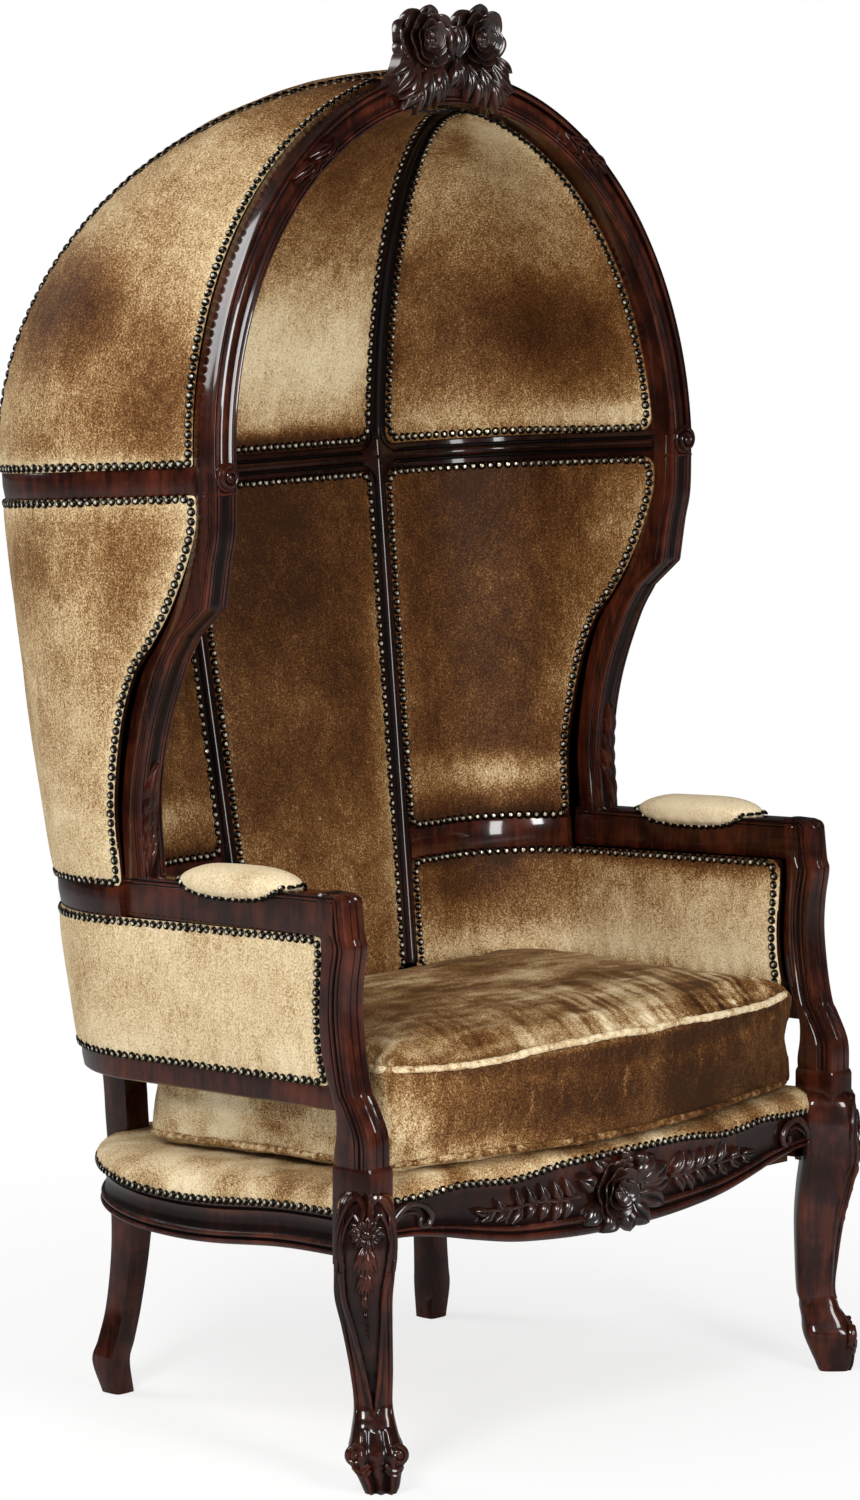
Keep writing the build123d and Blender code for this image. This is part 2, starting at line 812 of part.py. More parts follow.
with BuildPart() as arm_pad:
    for along, size in pad_shares:
        y = pad_rear_y - pad_length * (1 - along)
        half = (post_width / 2 + pad_overhang) * (1 + size) / 2
        low = rail_top(y) - pad_drop * size
        with BuildSketch(Plane.XZ.offset(-y)):
            with BuildLine():
                middle = rail_middle(y)
                ThreePointArc(
                    (middle - half, low),
                    (middle, rail_top(y) + pad_thickness * size),
                    (middle + half, low),
                )
                Line((middle + half, low), (middle - half, low))
            make_face()
    loft(ruled=True)
    add(arm_rail.part, mode=Mode.SUBTRACT)
    add(wing_post.part, mode=Mode.SUBTRACT)
save_pair(arm_pad, "arm_pad")

# Seat frame

seat_rear_y = seat_corner_y + seat_corner_radius


def seat_plan(inset):
    with BuildPart() as plan:
        with BuildSketch(Plane.XY.offset(seat_frame_low - apron_drop)):
            with BuildLine():
                plan_outline(
                    (seat_front_x - inset, seat_front_y),
                    (seat_corner_x, seat_corner_y),
                    seat_corner_radius - inset,
                )
            make_face()
        extrude(amount=apron_drop * 3)
    return plan.part


seat_top_line = (
    (0, seat_rail_front_top), (0.5, seat_rail_middle_top), (1, seat_rail_rear_top)
)
seat_depth = seat_rear_y - seat_front_y

with BuildPart() as seat_ring:
    with BuildSketch(Plane.YZ.offset(-post_outer_x * 2)):
        with BuildLine():
            crown = [(seat_front_y + y * seat_depth, z) for y, z in seat_top_line]
            sole = [(y, z - seat_rail_height) for y, z in crown]
            Spline(*crown)
            Line(crown[-1], sole[-1])
            Spline(*sole[::-1])
            Line(sole[0], crown[0])
        make_face()
    extrude(amount=post_outer_x * 4)
    add(seat_plan(0), mode=Mode.INTERSECT)
    add(seat_plan(seat_rail_thickness), mode=Mode.SUBTRACT)

# Front legs, with a square block at the seat corner that carries the arm post
front_leg_shares = (
    (0, 0, -0.17, 0.8), (0.07, 0, -0.1, 1.08), (0.15, 0, -0.03, 1.32), (0.2, -0.08, 0.1, 1.16),
    (0.3, -0.22, 0.28, 0.94), (0.45, -0.2, 0.3, 1.05), (0.6, -0.12, 0.28, 1.18),
    (0.72, 0.04, 0.22, 1.31), (0.84, 0.1, 0.08, 1.42), (0.96, 0.04, 0.1, 1.36),
)
corner_turn = 45
leg_corner_share = 0.3

with BuildPart() as front_leg:
    for height, x, y, size in front_leg_shares:
        with BuildSketch(Plane.XY.offset(height * seat_rail_front_top)):
            with Locations((front_leg_x + x * front_leg_size, front_leg_y + y * front_leg_size)):
                RectangleRounded(
                    size * front_leg_size,
                    size * front_leg_size,
                    size * front_leg_size * leg_corner_share,
                    rotation=corner_turn,
                )
    loft(ruled=True)
    with BuildSketch(Plane.XY.offset(seat_frame_low)):
        with Locations((
            post_outer_x - leg_block_size / 2,
            post_front_y - post_reach + leg_block_size / 2,
        )):
            Rectangle(leg_block_size, leg_block_size)
    extrude(amount=post_foot_height - seat_frame_low)
save_pair(front_leg, "front_leg")

front_legs = (front_leg.part, other_side(front_leg.part))

seat_rail_side = cut_piece(
    seat_ring.part, outside=(Plane((rear_leg_x, 0, 0), z_dir=(1, 0, 0)),),
    less=(rear_leg.part, front_leg.part),
)
save_pair(seat_rail_side, "seat_rail")
back_rail_end_x = rear_leg_x - stile_size / 2 - joint_gap
seat_rail_back = cut_piece(
    seat_ring.part, behind=rail_end,
    inside=(
        Plane((back_rail_end_x, 0, 0), z_dir=(1, 0, 0)),
        Plane((-back_rail_end_x, 0, 0), z_dir=(-1, 0, 0)),
    ),
    less=stiles,
)
save(seat_rail_back, "seat_rail_back")


def front_band(outset, depth):
    """A bowed band in plan, along the face of the front rail."""
    face_end = front_rail_face_y + front_rail_bow - outset
    face_middle = front_rail_face_y - outset
    with BuildPart() as band:
        with BuildSketch(Plane.XY.offset(front_rail_top - apron_drop * 2)):
            with BuildLine():
                ThreePointArc(
                    (-front_rail_half_span, face_end),
                    (0, face_middle),
                    (front_rail_half_span, face_end),
                )
                Line((front_rail_half_span, face_end), (front_rail_half_span, face_end + depth))
                ThreePointArc(
                    (front_rail_half_span, face_end + depth),
                    (0, face_middle + depth),
                    (-front_rail_half_span, face_end + depth),
                )
                Line((-front_rail_half_span, face_end + depth), (-front_rail_half_span, face_end))
            make_face()
        extrude(amount=apron_drop * 3)
    return band.part


apron_edge_shares = (
    (0, 1), (0.31, 0.96), (0.57, 0.83), (0.81, 0.57), (0.94, 0.46), (1, 0.46)
)

with BuildPart() as front_rail:
    with BuildSketch(Plane.XZ.offset(-front_rail_face_y - front_rail_thickness * 4)):
        with BuildLine():
            edge = [
                (x * front_rail_half_span, front_rail_top - drop * apron_drop)
                for x, drop in apron_edge_shares
            ]
            Polyline(*edge)
            Polyline(*[(-x, z) for x, z in edge])
            Polyline(
                edge[-1],
                (front_rail_half_span, front_rail_top),
                (-front_rail_half_span, front_rail_top),
                (-edge[-1][0], edge[-1][1]),
            )
        make_face()
    extrude(amount=front_rail_thickness * 8)
    add(front_band(0, front_rail_thickness), mode=Mode.INTERSECT)
    for leg in front_legs:
        add(leg, mode=Mode.SUBTRACT)
    for rail in (seat_rail_side.part, other_side(seat_rail_side.part)):
        add(rail, mode=Mode.SUBTRACT)
save(front_rail, "seat_rail_front")

# Carving on the apron: a rose, two leaf sprays and two scrolls
spray_shares = (
    (0.17, 0.3), (0.3, 0.22), (0.45, 0.3), (0.62, 0.36), (0.64, 0.44), (0.5, 0.5),
    (0.36, 0.5), (0.22, 0.66), (0.12, 0.9), (0.08, 0.6), (0.17, 0.3),
)
scroll_place_shares = 0.9, 0.24
scroll_radius = 19.0
rear_reach = outer_corner_y + outer_flare_y + outer_corner_radius

with BuildPart() as apron_carving:
    for side in (1, -1):
        with BuildSketch(Plane.XZ.offset(-front_rail_face_y - front_rail_thickness * 4)):
            with BuildLine():
                Polyline(*[
                    (side * x * front_rail_half_span, front_rail_top - drop * apron_drop)
                    for x, drop in spray_shares
                ])
            make_face()
            with Locations((
                side * scroll_place_shares[0] * front_rail_half_span,
                front_rail_top - scroll_place_shares[1] * apron_drop,
            )):
                Circle(scroll_radius)
        extrude(amount=front_rail_thickness * 8)
    add(front_band(carving_proud, carving_proud), mode=Mode.INTERSECT)
    with BuildSketch(Plane.XZ.offset(rear_reach)):
        with Locations((0, front_rail_top - rose_drop)):
            Ellipse(rose_half_width, rose_half_height)
    extrude(amount=front_rail_face_y + rear_reach - front_rail_thickness / 2)
    with BuildSketch(Plane.XZ.offset(rear_reach)):
        with Locations((0, front_rail_top - rose_drop)):
            Ellipse(rose_half_width, rose_half_height)
    extrude(amount=-(front_rail_face_y + rear_reach) - front_rail_thickness / 2)
    for other in (front_rail.part, *front_legs):
        add(other, mode=Mode.SUBTRACT)
save(apron_carving, "apron_carving")

# Seat deck, which is nailed over the seat rails, with webbing and corner blocks under it
deck_top = Plane((0, deck_reference_y, deck_height), z_dir=(0, deck_slope, 1))

with BuildPart() as seat_deck:
    with BuildSketch(Plane.XY.offset(deck_edge_height)):
        with BuildLine():
            front = seat_front_x - deck_margin, seat_front_y
            corner = seat_corner_x, seat_corner_y
            radius = seat_corner_radius - deck_margin
            touch = side_tangent(front, corner, radius)
            start = atan2(touch[1] - corner[1], touch[0] - corner[0])
            middle = (start + pi / 2) / 2
            bend = corner[0] + radius * cos(middle), corner[1] + radius * sin(middle)
            back = corner[0], corner[1] + radius
            for side in (1, -1):
                Line((side * front[0], front[1]), (side * touch[0], touch[1]))
                ThreePointArc(
                    (side * touch[0], touch[1]), (side * bend[0], bend[1]), (side * back[0], back[1])
                )
            Line(back, (-back[0], back[1]))
            ThreePointArc(
                (-front[0], front[1]), (0, front_rail_face_y + deck_margin), (front[0], front[1])
            )
        make_face()
    extrude(amount=apron_drop)
    split(bisect_by=deck_top, keep=Keep.BOTTOM)
    for other in (
        seat_rail_back.part, front_rail.part, *front_legs, *stiles,
        seat_rail_side.part, other_side(seat_rail_side.part), apron_carving.part,
    ):
        add(other, mode=Mode.SUBTRACT)
save(seat_deck, "seat_deck")

webbing_inner_x = seat_front_x - seat_rail_thickness - webbing_end_gap
webbing_rear_y = seat_rear_y - seat_rail_thickness - webbing_end_gap
webbing_count = 4

with BuildPart() as webbing:
    webbing_length = webbing_rear_y - seat_front_y
    with BuildSketch(Plane.XY.offset(deck_edge_height - webbing_thickness)):
        for index in range(webbing_count):
            place = (index - (webbing_count - 1) / 2) * webbing_pitch
            with Locations((place, (webbing_rear_y + seat_front_y) / 2)):
                Rectangle(webbing_width, webbing_length)
            with Locations((0, seat_front_y / 2 + place)):
                Rectangle(webbing_inner_x * 2, webbing_width)
    extrude(amount=webbing_thickness)
    for other in (
        front_rail.part, *front_legs, seat_rail_side.part, other_side(seat_rail_side.part),
    ):
        add(other, mode=Mode.SUBTRACT)
save(webbing, "seat_webbing")

# Corner blocks inside the seat frame
block_angles = (18, 45, 72)
block_top = deck_edge_height - webbing_thickness - block_gap
block_reach = seat_corner_radius - seat_rail_thickness - block_gap
block_front_y = front_rail_face_y + front_rail_thickness + front_rail_bow
block_front_x = seat_front_x - seat_rail_thickness - block_front_gap

with BuildPart() as corner_blocks:
    with BuildSketch(Plane.XY.offset(block_top)):
        for side in (1, -1):
            with BuildLine():
                Polyline(
                    (side * block_front_x, block_front_y),
                    (side * (block_front_x - block_size), block_front_y),
                    (side * block_front_x, block_front_y + block_size),
                    (side * block_front_x, block_front_y),
                )
            make_face()
            with BuildLine():
                rim = [
                    (
                        side * (seat_corner_x + block_reach * cos(radians(angle))),
                        seat_corner_y + block_reach * sin(radians(angle)),
                    )
                    for angle in block_angles
                ]
                Polyline(*rim, rim[0])
            make_face()
    extrude(amount=-block_height)
    for other in (
        front_rail.part, *front_legs, *stiles,
        seat_rail_side.part, other_side(seat_rail_side.part),
    ):
        add(other, mode=Mode.SUBTRACT)
save(corner_blocks, "corner_blocks")

# Scroll rosettes at the feet of the arch
rosette_radius = 19.0
rosette_proud = 9.0
rosette_inset = 19.0
rosette_drop = 6.0

with BuildPart() as rosettes:
    with BuildSketch(Plane.XZ.offset(-arch_front_y + rosette_proud)):
        for side in (1, -1):
            with Locations((side * (frame_outer_x - rosette_inset), arch_foot_height - rosette_drop)):
                Circle(rosette_radius)
    extrude(amount=-rosette_proud * 2)
    for other in (wing_post.part, arch.part):
        add(other, mode=Mode.SUBTRACT)
        add(other_side(other), mode=Mode.SUBTRACT)
save(rosettes, "scroll_rosettes")

# Loose cushion: a boxed shape with a crown and drawn-in sides
cushion_rear_y = cushion_corner_y + cushion_corner_radius
cushion_middle_y = (cushion_front_y - cushion_front_bow + cushion_rear_y) / 2
cushion_size_shares = (
    (0, 0.965), (0.1, 1), (0.5, 1 - cushion_draw_in / cushion_front_x), (0.9, 1), (1, 0.965),
)
cushion_crown_shares = ((0, 0.965), (0.62, 0.84), (1, 0.55))


def cushion_outline(size):
    """Draws the cushion's plan, in a share of its size: a bowed front and round rear corners."""
    def place(x, y):
        return x * size, (y - cushion_middle_y) * size

    front = place(cushion_front_x, cushion_front_y)
    corner = place(cushion_corner_x, cushion_corner_y)
    radius = cushion_corner_radius * size
    touch = side_tangent(front, corner, radius)
    start = atan2(touch[1] - corner[1], touch[0] - corner[0])
    middle = (start + pi / 2) / 2
    bend = corner[0] + radius * cos(middle), corner[1] + radius * sin(middle)
    back = corner[0], corner[1] + radius
    ThreePointArc((-front[0], front[1]), place(0, cushion_front_y - cushion_front_bow), front)
    Line(front, touch)
    ThreePointArc(touch, bend, back)
    Line(back, (-back[0], back[1]))
    ThreePointArc((-back[0], back[1]), (-bend[0], bend[1]), (-touch[0], touch[1]))
    Line((-touch[0], touch[1]), (-front[0], front[1]))


def cushion_plane(height, lean):
    return Plane((0, cushion_middle_y, height), x_dir=(1, 0, 0), z_dir=(0, lean, 1))


cushion_low = deck_height - deck_slope * (cushion_middle_y - deck_reference_y) + cushion_gap
cushion_rise = cushion_height - cushion_low

with BuildPart() as seat_cushion:
    for height, size in cushion_size_shares:
        lean = deck_slope * (1 - height)
        with BuildSketch(cushion_plane(cushion_low + height * cushion_rise, lean)):
            with BuildLine():
                cushion_outline(size)
            make_face()
    loft(ruled=True)
    for height, size in cushion_crown_shares:
        with BuildSketch(cushion_plane(cushion_height + height * cushion_crown, 0)):
            with BuildLine():
                cushion_outline(size)
            make_face()
    loft(ruled=True)
save(seat_cushion, "seat_cushion")
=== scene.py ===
"""Hall porter chair: velvet panels, carved mahogany frame and brass nails over the fixed frame."""
import math

import bmesh
import bpy
import numpy as np
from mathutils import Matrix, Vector


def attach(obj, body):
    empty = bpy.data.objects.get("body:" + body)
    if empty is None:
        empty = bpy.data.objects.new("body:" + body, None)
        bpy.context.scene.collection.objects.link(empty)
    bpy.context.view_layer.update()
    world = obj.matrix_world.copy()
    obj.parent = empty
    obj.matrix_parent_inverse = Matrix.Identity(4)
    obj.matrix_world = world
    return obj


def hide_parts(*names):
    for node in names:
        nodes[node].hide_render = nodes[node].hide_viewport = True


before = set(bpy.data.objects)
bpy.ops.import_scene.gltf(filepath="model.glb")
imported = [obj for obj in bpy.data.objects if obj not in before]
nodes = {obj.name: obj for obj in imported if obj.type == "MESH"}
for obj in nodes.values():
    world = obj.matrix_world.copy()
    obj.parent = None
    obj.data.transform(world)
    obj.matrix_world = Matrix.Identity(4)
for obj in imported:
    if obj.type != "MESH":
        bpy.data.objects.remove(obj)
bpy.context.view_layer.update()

# Sizes, in metres

TOP = 1.16                 # height where the walls end and the hood begins
AXIS_Y = -0.0185           # the hood closes over this line
HOOD = dict(dx=.047, dy=.090, cx=.219, cy=.071, z0=.42, r=.200, rise=.456)
LINING = dict(dx=0, dy=.094, cx=.235, cy=.011, z0=.48, r=.135, rise=.420)
SHELLS = {
    "out": dict(HOOD, fx=.425, fy=-.050, a=.24, b=.65),
    "arm_out": dict(HOOD, fx=.431, fy=-.268, a=.40, b=.75),
    "in": dict(LINING, fx=.388, fy=-.050, a=.25, b=.61),
    "arm_in": dict(LINING, fx=.388, fy=-.268, a=.39, b=.68),
}
BELT_Z, BELT_SLOPE, BELT_Y, HALF_BELT = 1.151, .075, -.0535, .0165
ARM_Z, ARM_SLOPE, RAIL_Y, ARM_DEPTH, ARM_BAND = .689, .04, -.254, .049, .038
LOW_Z, LOW_SLOPE, LOW_BAND = .467, .03, .028
ARCH_Y, ARCH_FOOT, ARCH_TOP, ARCH_LEAN, FRAME_DEPTH = -.0795, 1.16, 1.62, .026, .035
ARCH_TILT = math.atan2(ARCH_LEAN, ARCH_TOP - ARCH_FOOT)
ARCH_UP = np.array([0, math.sin(ARCH_TILT), math.cos(ARCH_TILT)])
ARCH_OUT = np.array([0, -math.cos(ARCH_TILT), math.sin(ARCH_TILT)])
FRAME_X, FRAME_W = .425, .038
ARM_END_Y = .082
STILE_X = .335             # where the outer side panels meet the back
LINING_FOOT = .478         # the inner panels end here, under the cushion's top
NAIL_PITCH, NAIL_R, NAIL_FLAT, NAIL_INSET = .0112, .0056, .62, .0040
PULL_PITCH = .0236         # spacing of the pulls in the cloth beside the nails
UP = np.array([0, 0, 1.0])
MIRROR = np.array([-1, 1, 1])
SIDES = (("right", 1), ("left", -1))


def unit(v):
    """The same directions with length 1."""
    v = np.asarray(v, float)
    return v / np.maximum(np.linalg.norm(v, axis=-1, keepdims=True), 1e-12)


def arrays(*values):
    return (np.asarray(v, float) for v in values)


def columns(*values):
    """Points from their x, y and z, each a number or a list."""
    return np.stack(np.broadcast_arrays(*arrays(*values)), -1)


def turn(angle, right, up):
    """Directions at angles in the plane of right and up."""
    return np.multiply.outer(np.cos(angle), right) + np.multiply.outer(np.sin(angle), up)


def around(count):
    return np.linspace(0, 2 * math.pi, count, endpoint=False)


# Curved walls

def shell(kind, t, w):
    """A point of a wall. t runs from -1 at the front left round the back to 1 at the front right.
    w is the height under the hood's foot, below zero, or the share of a quarter turn above it."""
    k = SHELLS[kind]
    t, w = np.broadcast_arrays(*arrays(t, w))
    up = np.clip(w, 0, 1) * math.pi / 2
    z = np.where(w <= 0, TOP + w, TOP + k["rise"] * np.sin(up))
    s = np.where(w <= 0, (TOP + w - k["z0"]) / (TOP - k["z0"]), 1.0)
    cx, cy, r = k["cx"] + k["dx"] * s, k["cy"] + k["dy"] * s, k["r"]
    fx, fy, a, b = k["fx"], k["fy"], k["a"], k["b"]
    run = np.hypot(cx - fx, cy - fy)
    bearing = np.arctan2(cy - fy, cx - fx) - np.arcsin(r / run)
    reach = np.sqrt(run ** 2 - r ** 2)
    tx, ty = fx + reach * np.cos(bearing), fy + reach * np.sin(bearing)
    start = np.arctan2(ty - cy, tx - cx)
    q = 1 - np.abs(t)
    angle = start + (math.pi / 2 - start) * (q - a) / (b - a)
    back = np.clip((q - b) / (1 - b), 0, 1)
    x = np.where(q < a, fx + (tx - fx) * q / a,
                 np.where(q < b, cx + r * np.cos(angle), cx * (1 - back)))
    y = np.where(q < a, fy + (ty - fy) * q / a, np.where(q < b, cy + r * np.sin(angle), cy + r))
    x = x * np.sign(t + 1e-12)
    shrink = np.cos(up)
    return np.stack([x * shrink, AXIS_Y + (y - AXIS_Y) * shrink, z], -1)


def shell_normal(kind, t, w):
    """The unit normal of a wall on the side that shows: out of the body, or into the sitting space."""
    e = 1e-3
    n = unit(np.cross(shell(kind, t + e, w) - shell(kind, t - e, w),
                      shell(kind, t, w + e) - shell(kind, t, w - e)))
    out = shell(kind, t, w) - np.array([0, AXIS_Y + .06, 1.1])
    out[..., 2] = np.maximum(out[..., 2], 0)
    sign = np.sign((n * out).sum(-1, keepdims=True))
    return n * sign * (-1 if kind.endswith("in") else 1)


def crossing(kind, f, low, high, t=None, w=None):
    """Where f changes sign on a wall between low and high: in t at heights w, or in w at places t."""
    given = np.asarray(w if t is None else t, float)
    at = (lambda v: shell(kind, v, given)) if t is None else (lambda v: shell(kind, given, v))
    lo, hi = np.full_like(given, low), np.full_like(given, high)
    sign = np.sign(f(at(hi)))
    for _ in range(36):
        mid = (lo + hi) / 2
        same = np.sign(f(at(mid))) == sign
        hi, lo = np.where(same, mid, hi), np.where(same, lo, mid)
    return (lo + hi) / 2


# Surfaces that bound the panels: each is zero on the boundary

def sloped(z, slope, y):
    return lambda offset: lambda p: p[..., 2] - (z + offset - slope * (p[..., 1] - y))


def rib(foot, top):
    run = math.hypot(foot[0] - top[0], foot[1] - top[1])
    nx, ny = (foot[1] - top[1]) / run, -(foot[0] - top[0]) / run
    return lambda shift: lambda p: ((np.abs(p[..., 0]) - top[0]) * nx + (p[..., 1] - top[1]) * ny
                                    - shift)


belt = sloped(BELT_Z, BELT_SLOPE, BELT_Y)
arm_line = sloped(ARM_Z - ARM_DEPTH, ARM_SLOPE, RAIL_Y)
low_line = sloped(LOW_Z, LOW_SLOPE, RAIL_Y)
outer_rib = rib((.411, .2945), (.050, -.0285))
dome_rib = rib((.183, .2405), (.045, -.0285))


def back_rib(shift):
    return lambda p: np.abs(p[..., 0]) - (.147 + (.178 - .147) * (p[..., 2] - .494) / .657) - shift


def split_x(x):
    return lambda p: np.abs(p[..., 0]) - x


def arch_rear(gap=0.0):
    slope = ARCH_LEAN / (ARCH_TOP - ARCH_FOOT)
    return lambda p: p[..., 1] - (ARCH_Y + FRAME_DEPTH + gap + slope * (p[..., 2] - ARCH_FOOT))


def arch_meeting(kind, f, gap=0.0):
    """The height at which a rib meets the back of the arch."""
    lo, hi = .3, .999
    for _ in range(40):
        mid = (lo + hi) / 2
        front = crossing(kind, arch_rear(gap), .5, 1.0, w=mid)
        lo, hi = (mid, hi) if f(shell(kind, front, mid)) > 0 else (lo, mid)
    return lo


def even(points, count):
    """The same line with its points evenly spaced."""
    p = np.asarray(points, float)
    d = np.r_[0, np.cumsum(np.linalg.norm(np.diff(p, axis=0), axis=1))]
    s = np.linspace(0, d[-1], count)
    return np.stack([np.interp(s, d, p[:, i]) for i in range(p.shape[1])], -1)


def smooth_line(points, count):
    """A Catmull-Rom curve through the points, evenly spaced along its length."""
    p = np.asarray(points, float)
    ext = np.vstack([2 * p[0] - p[1], p, 2 * p[-1] - p[-2]])
    s = np.linspace(0, 1, 24, endpoint=False)[:, None]
    out = []
    for a, b, c, d in zip(ext, ext[1:], ext[2:], ext[3:]):
        out.append(.5 * (2 * b + (c - a) * s + (2 * a - 5 * b + 4 * c - d) * s ** 2
                         + (3 * b - a - 3 * c + d) * s ** 3))
    return even(np.vstack(out + [p[-1:]]), count)


def y_at(points, z):
    """The y of a y, z line at each height."""
    line = points[np.argsort(points[:, 1])]
    return np.interp(z, line[:, 1], line[:, 0])


def line_y(points, gap=0.0):
    return lambda p: p[..., 1] - gap - y_at(points, p[..., 2])


def side_view(shares, corner, size):
    """Points y, z of the frame's side view, from their shares of a box."""
    return np.array(corner) + np.array(shares) * size


WING_BOX, POST_BOX = ((.0415, .676), (-.126, .484)), ((-.293, .376), (.044, .313))
wing_front = side_view([
    (0, 0), (-.048, .177), (.056, .348), (.302, .516), (.5, .601), (.821, .671), (.889, .78),
    (.952, .86), (.96, 1)], *WING_BOX)
wing_rear = smooth_line(side_view([
    (.679, 1), (.706, .877), (.587, .774), (.389, .66), (.183, .576), (-.008, .508), (-.183, .379),
    (-.302, .177), (-.27, 0)], *WING_BOX), 90)
post_front = side_view([
    (-.97, 0), (-.92, .125), (-.53, .235), (-.35, .278), (-.17, .393), (-.03, .556), (-.06, .684),
    (-.19, .805), (-.1, .853), (.03, 1)], *POST_BOX)
post_rear = smooth_line(side_view([
    (.36, 0), (.38, .05), (.30, .13), (.36, .22), (.78, .38), (.92, .55), (.84, .8), (1, 1)],
    *POST_BOX), 60)


def noise3(p, scale, seed):
    """Smooth noise from -1 to 1 at points, with features about 1 / scale across."""
    lattice = np.random.default_rng(seed).uniform(-1, 1, (32, 32, 32))
    q = np.asarray(p, float) * scale + 101.3
    i = np.floor(q).astype(int)
    f = q - i
    f = f * f * (3 - 2 * f)
    out = 0
    for corner in np.ndindex(2, 2, 2):
        weight = np.where(corner, f, 1 - f).prod(-1)
        out = out + weight * lattice[tuple(np.moveaxis((i + corner) % 32, -1, 0))]
    return out


# Small tools for meshes

def vertex_values(mesh, key):
    """The place (co) or the normal of every vertex."""
    out = np.empty(len(mesh.vertices) * 3, np.float32)
    mesh.vertices.foreach_get(key, out)
    return out.reshape(-1, 3)


def store(mesh, name, values):
    layer = mesh.attributes.new(name, "FLOAT", "POINT")
    layer.data.foreach_set("value", np.asarray(values, np.float32))


def rework(mesh, *steps):
    """Runs bmesh operators on a mesh; each step is a function of the bmesh."""
    bm = bmesh.new()
    bm.from_mesh(mesh)
    for step in steps:
        step(bm)
    bm.to_mesh(mesh)
    bm.free()


def merge(distance):
    return lambda bm: bmesh.ops.remove_doubles(bm, verts=bm.verts, dist=distance)


def add_object(name, data):
    obj = bpy.data.objects.new(name, data)
    bpy.context.scene.collection.objects.link(obj)
    return obj


def evaluated(obj):
    bpy.context.view_layer.update()
    return obj.evaluated_get(bpy.context.evaluated_depsgraph_get())


def hollows(mesh):
    """How far each point lies in a groove (towards 1) or on a ridge (below 0) of its mesh."""
    count = len(mesh.vertices)
    ends = np.empty(len(mesh.edges) * 2, np.int32)
    mesh.edges.foreach_get("vertices", ends)
    a, b = ends.reshape(-1, 2).T
    co, normal = vertex_values(mesh, "co"), vertex_values(mesh, "normal")
    step = co[b] - co[a]
    step /= np.maximum(np.linalg.norm(step, axis=1, keepdims=True), 1e-9)

    def spread(from_a, from_b):
        return np.bincount(a, from_a, count) + np.bincount(b, from_b, count)
    degree = np.maximum(spread(None, None), 1)
    value = spread((normal[a] * step).sum(1), -(normal[b] * step).sum(1)) / degree
    return np.clip((value * .5 + spread(value[b], value[a]) / degree * .5) * 5, -.1, 1)


def dress(obj, slot, replaced=None, body="chair"):
    """Puts a piece on its body and in the place of the node it stands for. The slot is not used."""
    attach(obj, body)
    if replaced:
        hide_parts(replaced)
        slot == "velvet"


def mesh_piece(name, shape, material, replaced=None, sharp=None, nap=None, body="chair"):
    """A piece from its vertices and faces. Only cloth carries a painted sheen and shade; all else is
    polished wood, with a groove measure for its painted shade.
    """
    mesh = bpy.data.meshes.new(name)
    mesh.from_pydata([tuple(v) for v in np.asarray(shape[0], float)], [], [tuple(f) for f in shape[1]])
    mesh.validate()
    if nap is not None:
        store(mesh, "nap", nap)
    rework(mesh, merge(1e-6), lambda bm: bmesh.ops.recalc_face_normals(bm, faces=bm.faces))
    if nap is None:
        store(mesh, "hollow", hollows(mesh))
    mesh.shade_smooth()
    if sharp:
        mesh.set_sharp_from_angle(angle=math.radians(sharp))
    mesh.materials.append(material)
    dress(add_object(name, mesh), "mahogany" if nap is None else "velvet", replaced, body)


def grid_faces(n, m, close_n=False, close_m=False):
    """Quads of an n by m grid of points."""
    i, j = np.meshgrid(np.arange(n if close_n else n - 1), np.arange(m if close_m else m - 1),
                       indexing="ij")
    i, j = i.ravel(), j.ravel()
    i2, j2 = (i + 1) % n, (j + 1) % m
    return np.stack([i * m + j, i2 * m + j, i2 * m + j2, i * m + j2], -1).tolist()


def bar(rings):
    """A closed bar through a stack of rings with equally many points."""
    rings = np.asarray(rings, float)
    n, m = rings.shape[:2]
    return rings.reshape(-1, 3), grid_faces(n, m, close_m=True) + [
        list(range(m)), [(n - 1) * m + i for i in range(m)][::-1]]


def rim_ids(n, m):
    """The points round the edge of an n by m grid, in order."""
    rim = [(i, 0) for i in range(n - 1)] + [(n - 1, j) for j in range(m - 1)] \
        + [(i, m - 1) for i in range(n - 1, 0, -1)] + [(0, j) for j in range(m - 1, 0, -1)]
    return [i * m + j for i, j in rim]


def sheet_shell(top, under):
    """Closes two matching grids of points into one thin solid."""
    n, m = top.shape[:2]
    faces, ids, k = grid_faces(n, m), rim_ids(n, m), n * m
    faces += [[i + k for i in f[::-1]] for f in faces]
    faces += [[a, a + k, b + k, b] for a, b in zip(ids, ids[1:] + ids[:1])]
    return np.vstack([top.reshape(-1, 3), under.reshape(-1, 3)]), faces


class Parts:
    """Collects several shapes that make one piece."""

    def __init__(self, *shapes):
        self.verts, self.faces, self.count = [], [], 0
        for shape in shapes:
            self.add(*shape)

    def add(self, verts, faces):
        self.verts.append(np.asarray(verts, float).reshape(-1, 3))
        self.faces += [[i + self.count for i in f] for f in faces]
        self.count += len(self.verts[-1])

    def shape(self, sign=1):
        """The whole, or its mirror image where sign is -1."""
        verts = np.vstack(self.verts)
        return (verts, self.faces) if sign > 0 else (verts * MIRROR, [f[::-1] for f in self.faces])

    def pair(self, name, material, node=None, sharp=32):
        """Makes the right piece and its mirror image, which replace a pair of nodes."""
        for side, sign in SIDES:
            mesh_piece(f"{name}_{side}", self.shape(sign), material, node and f"{node}_{side}", sharp)


# Materials

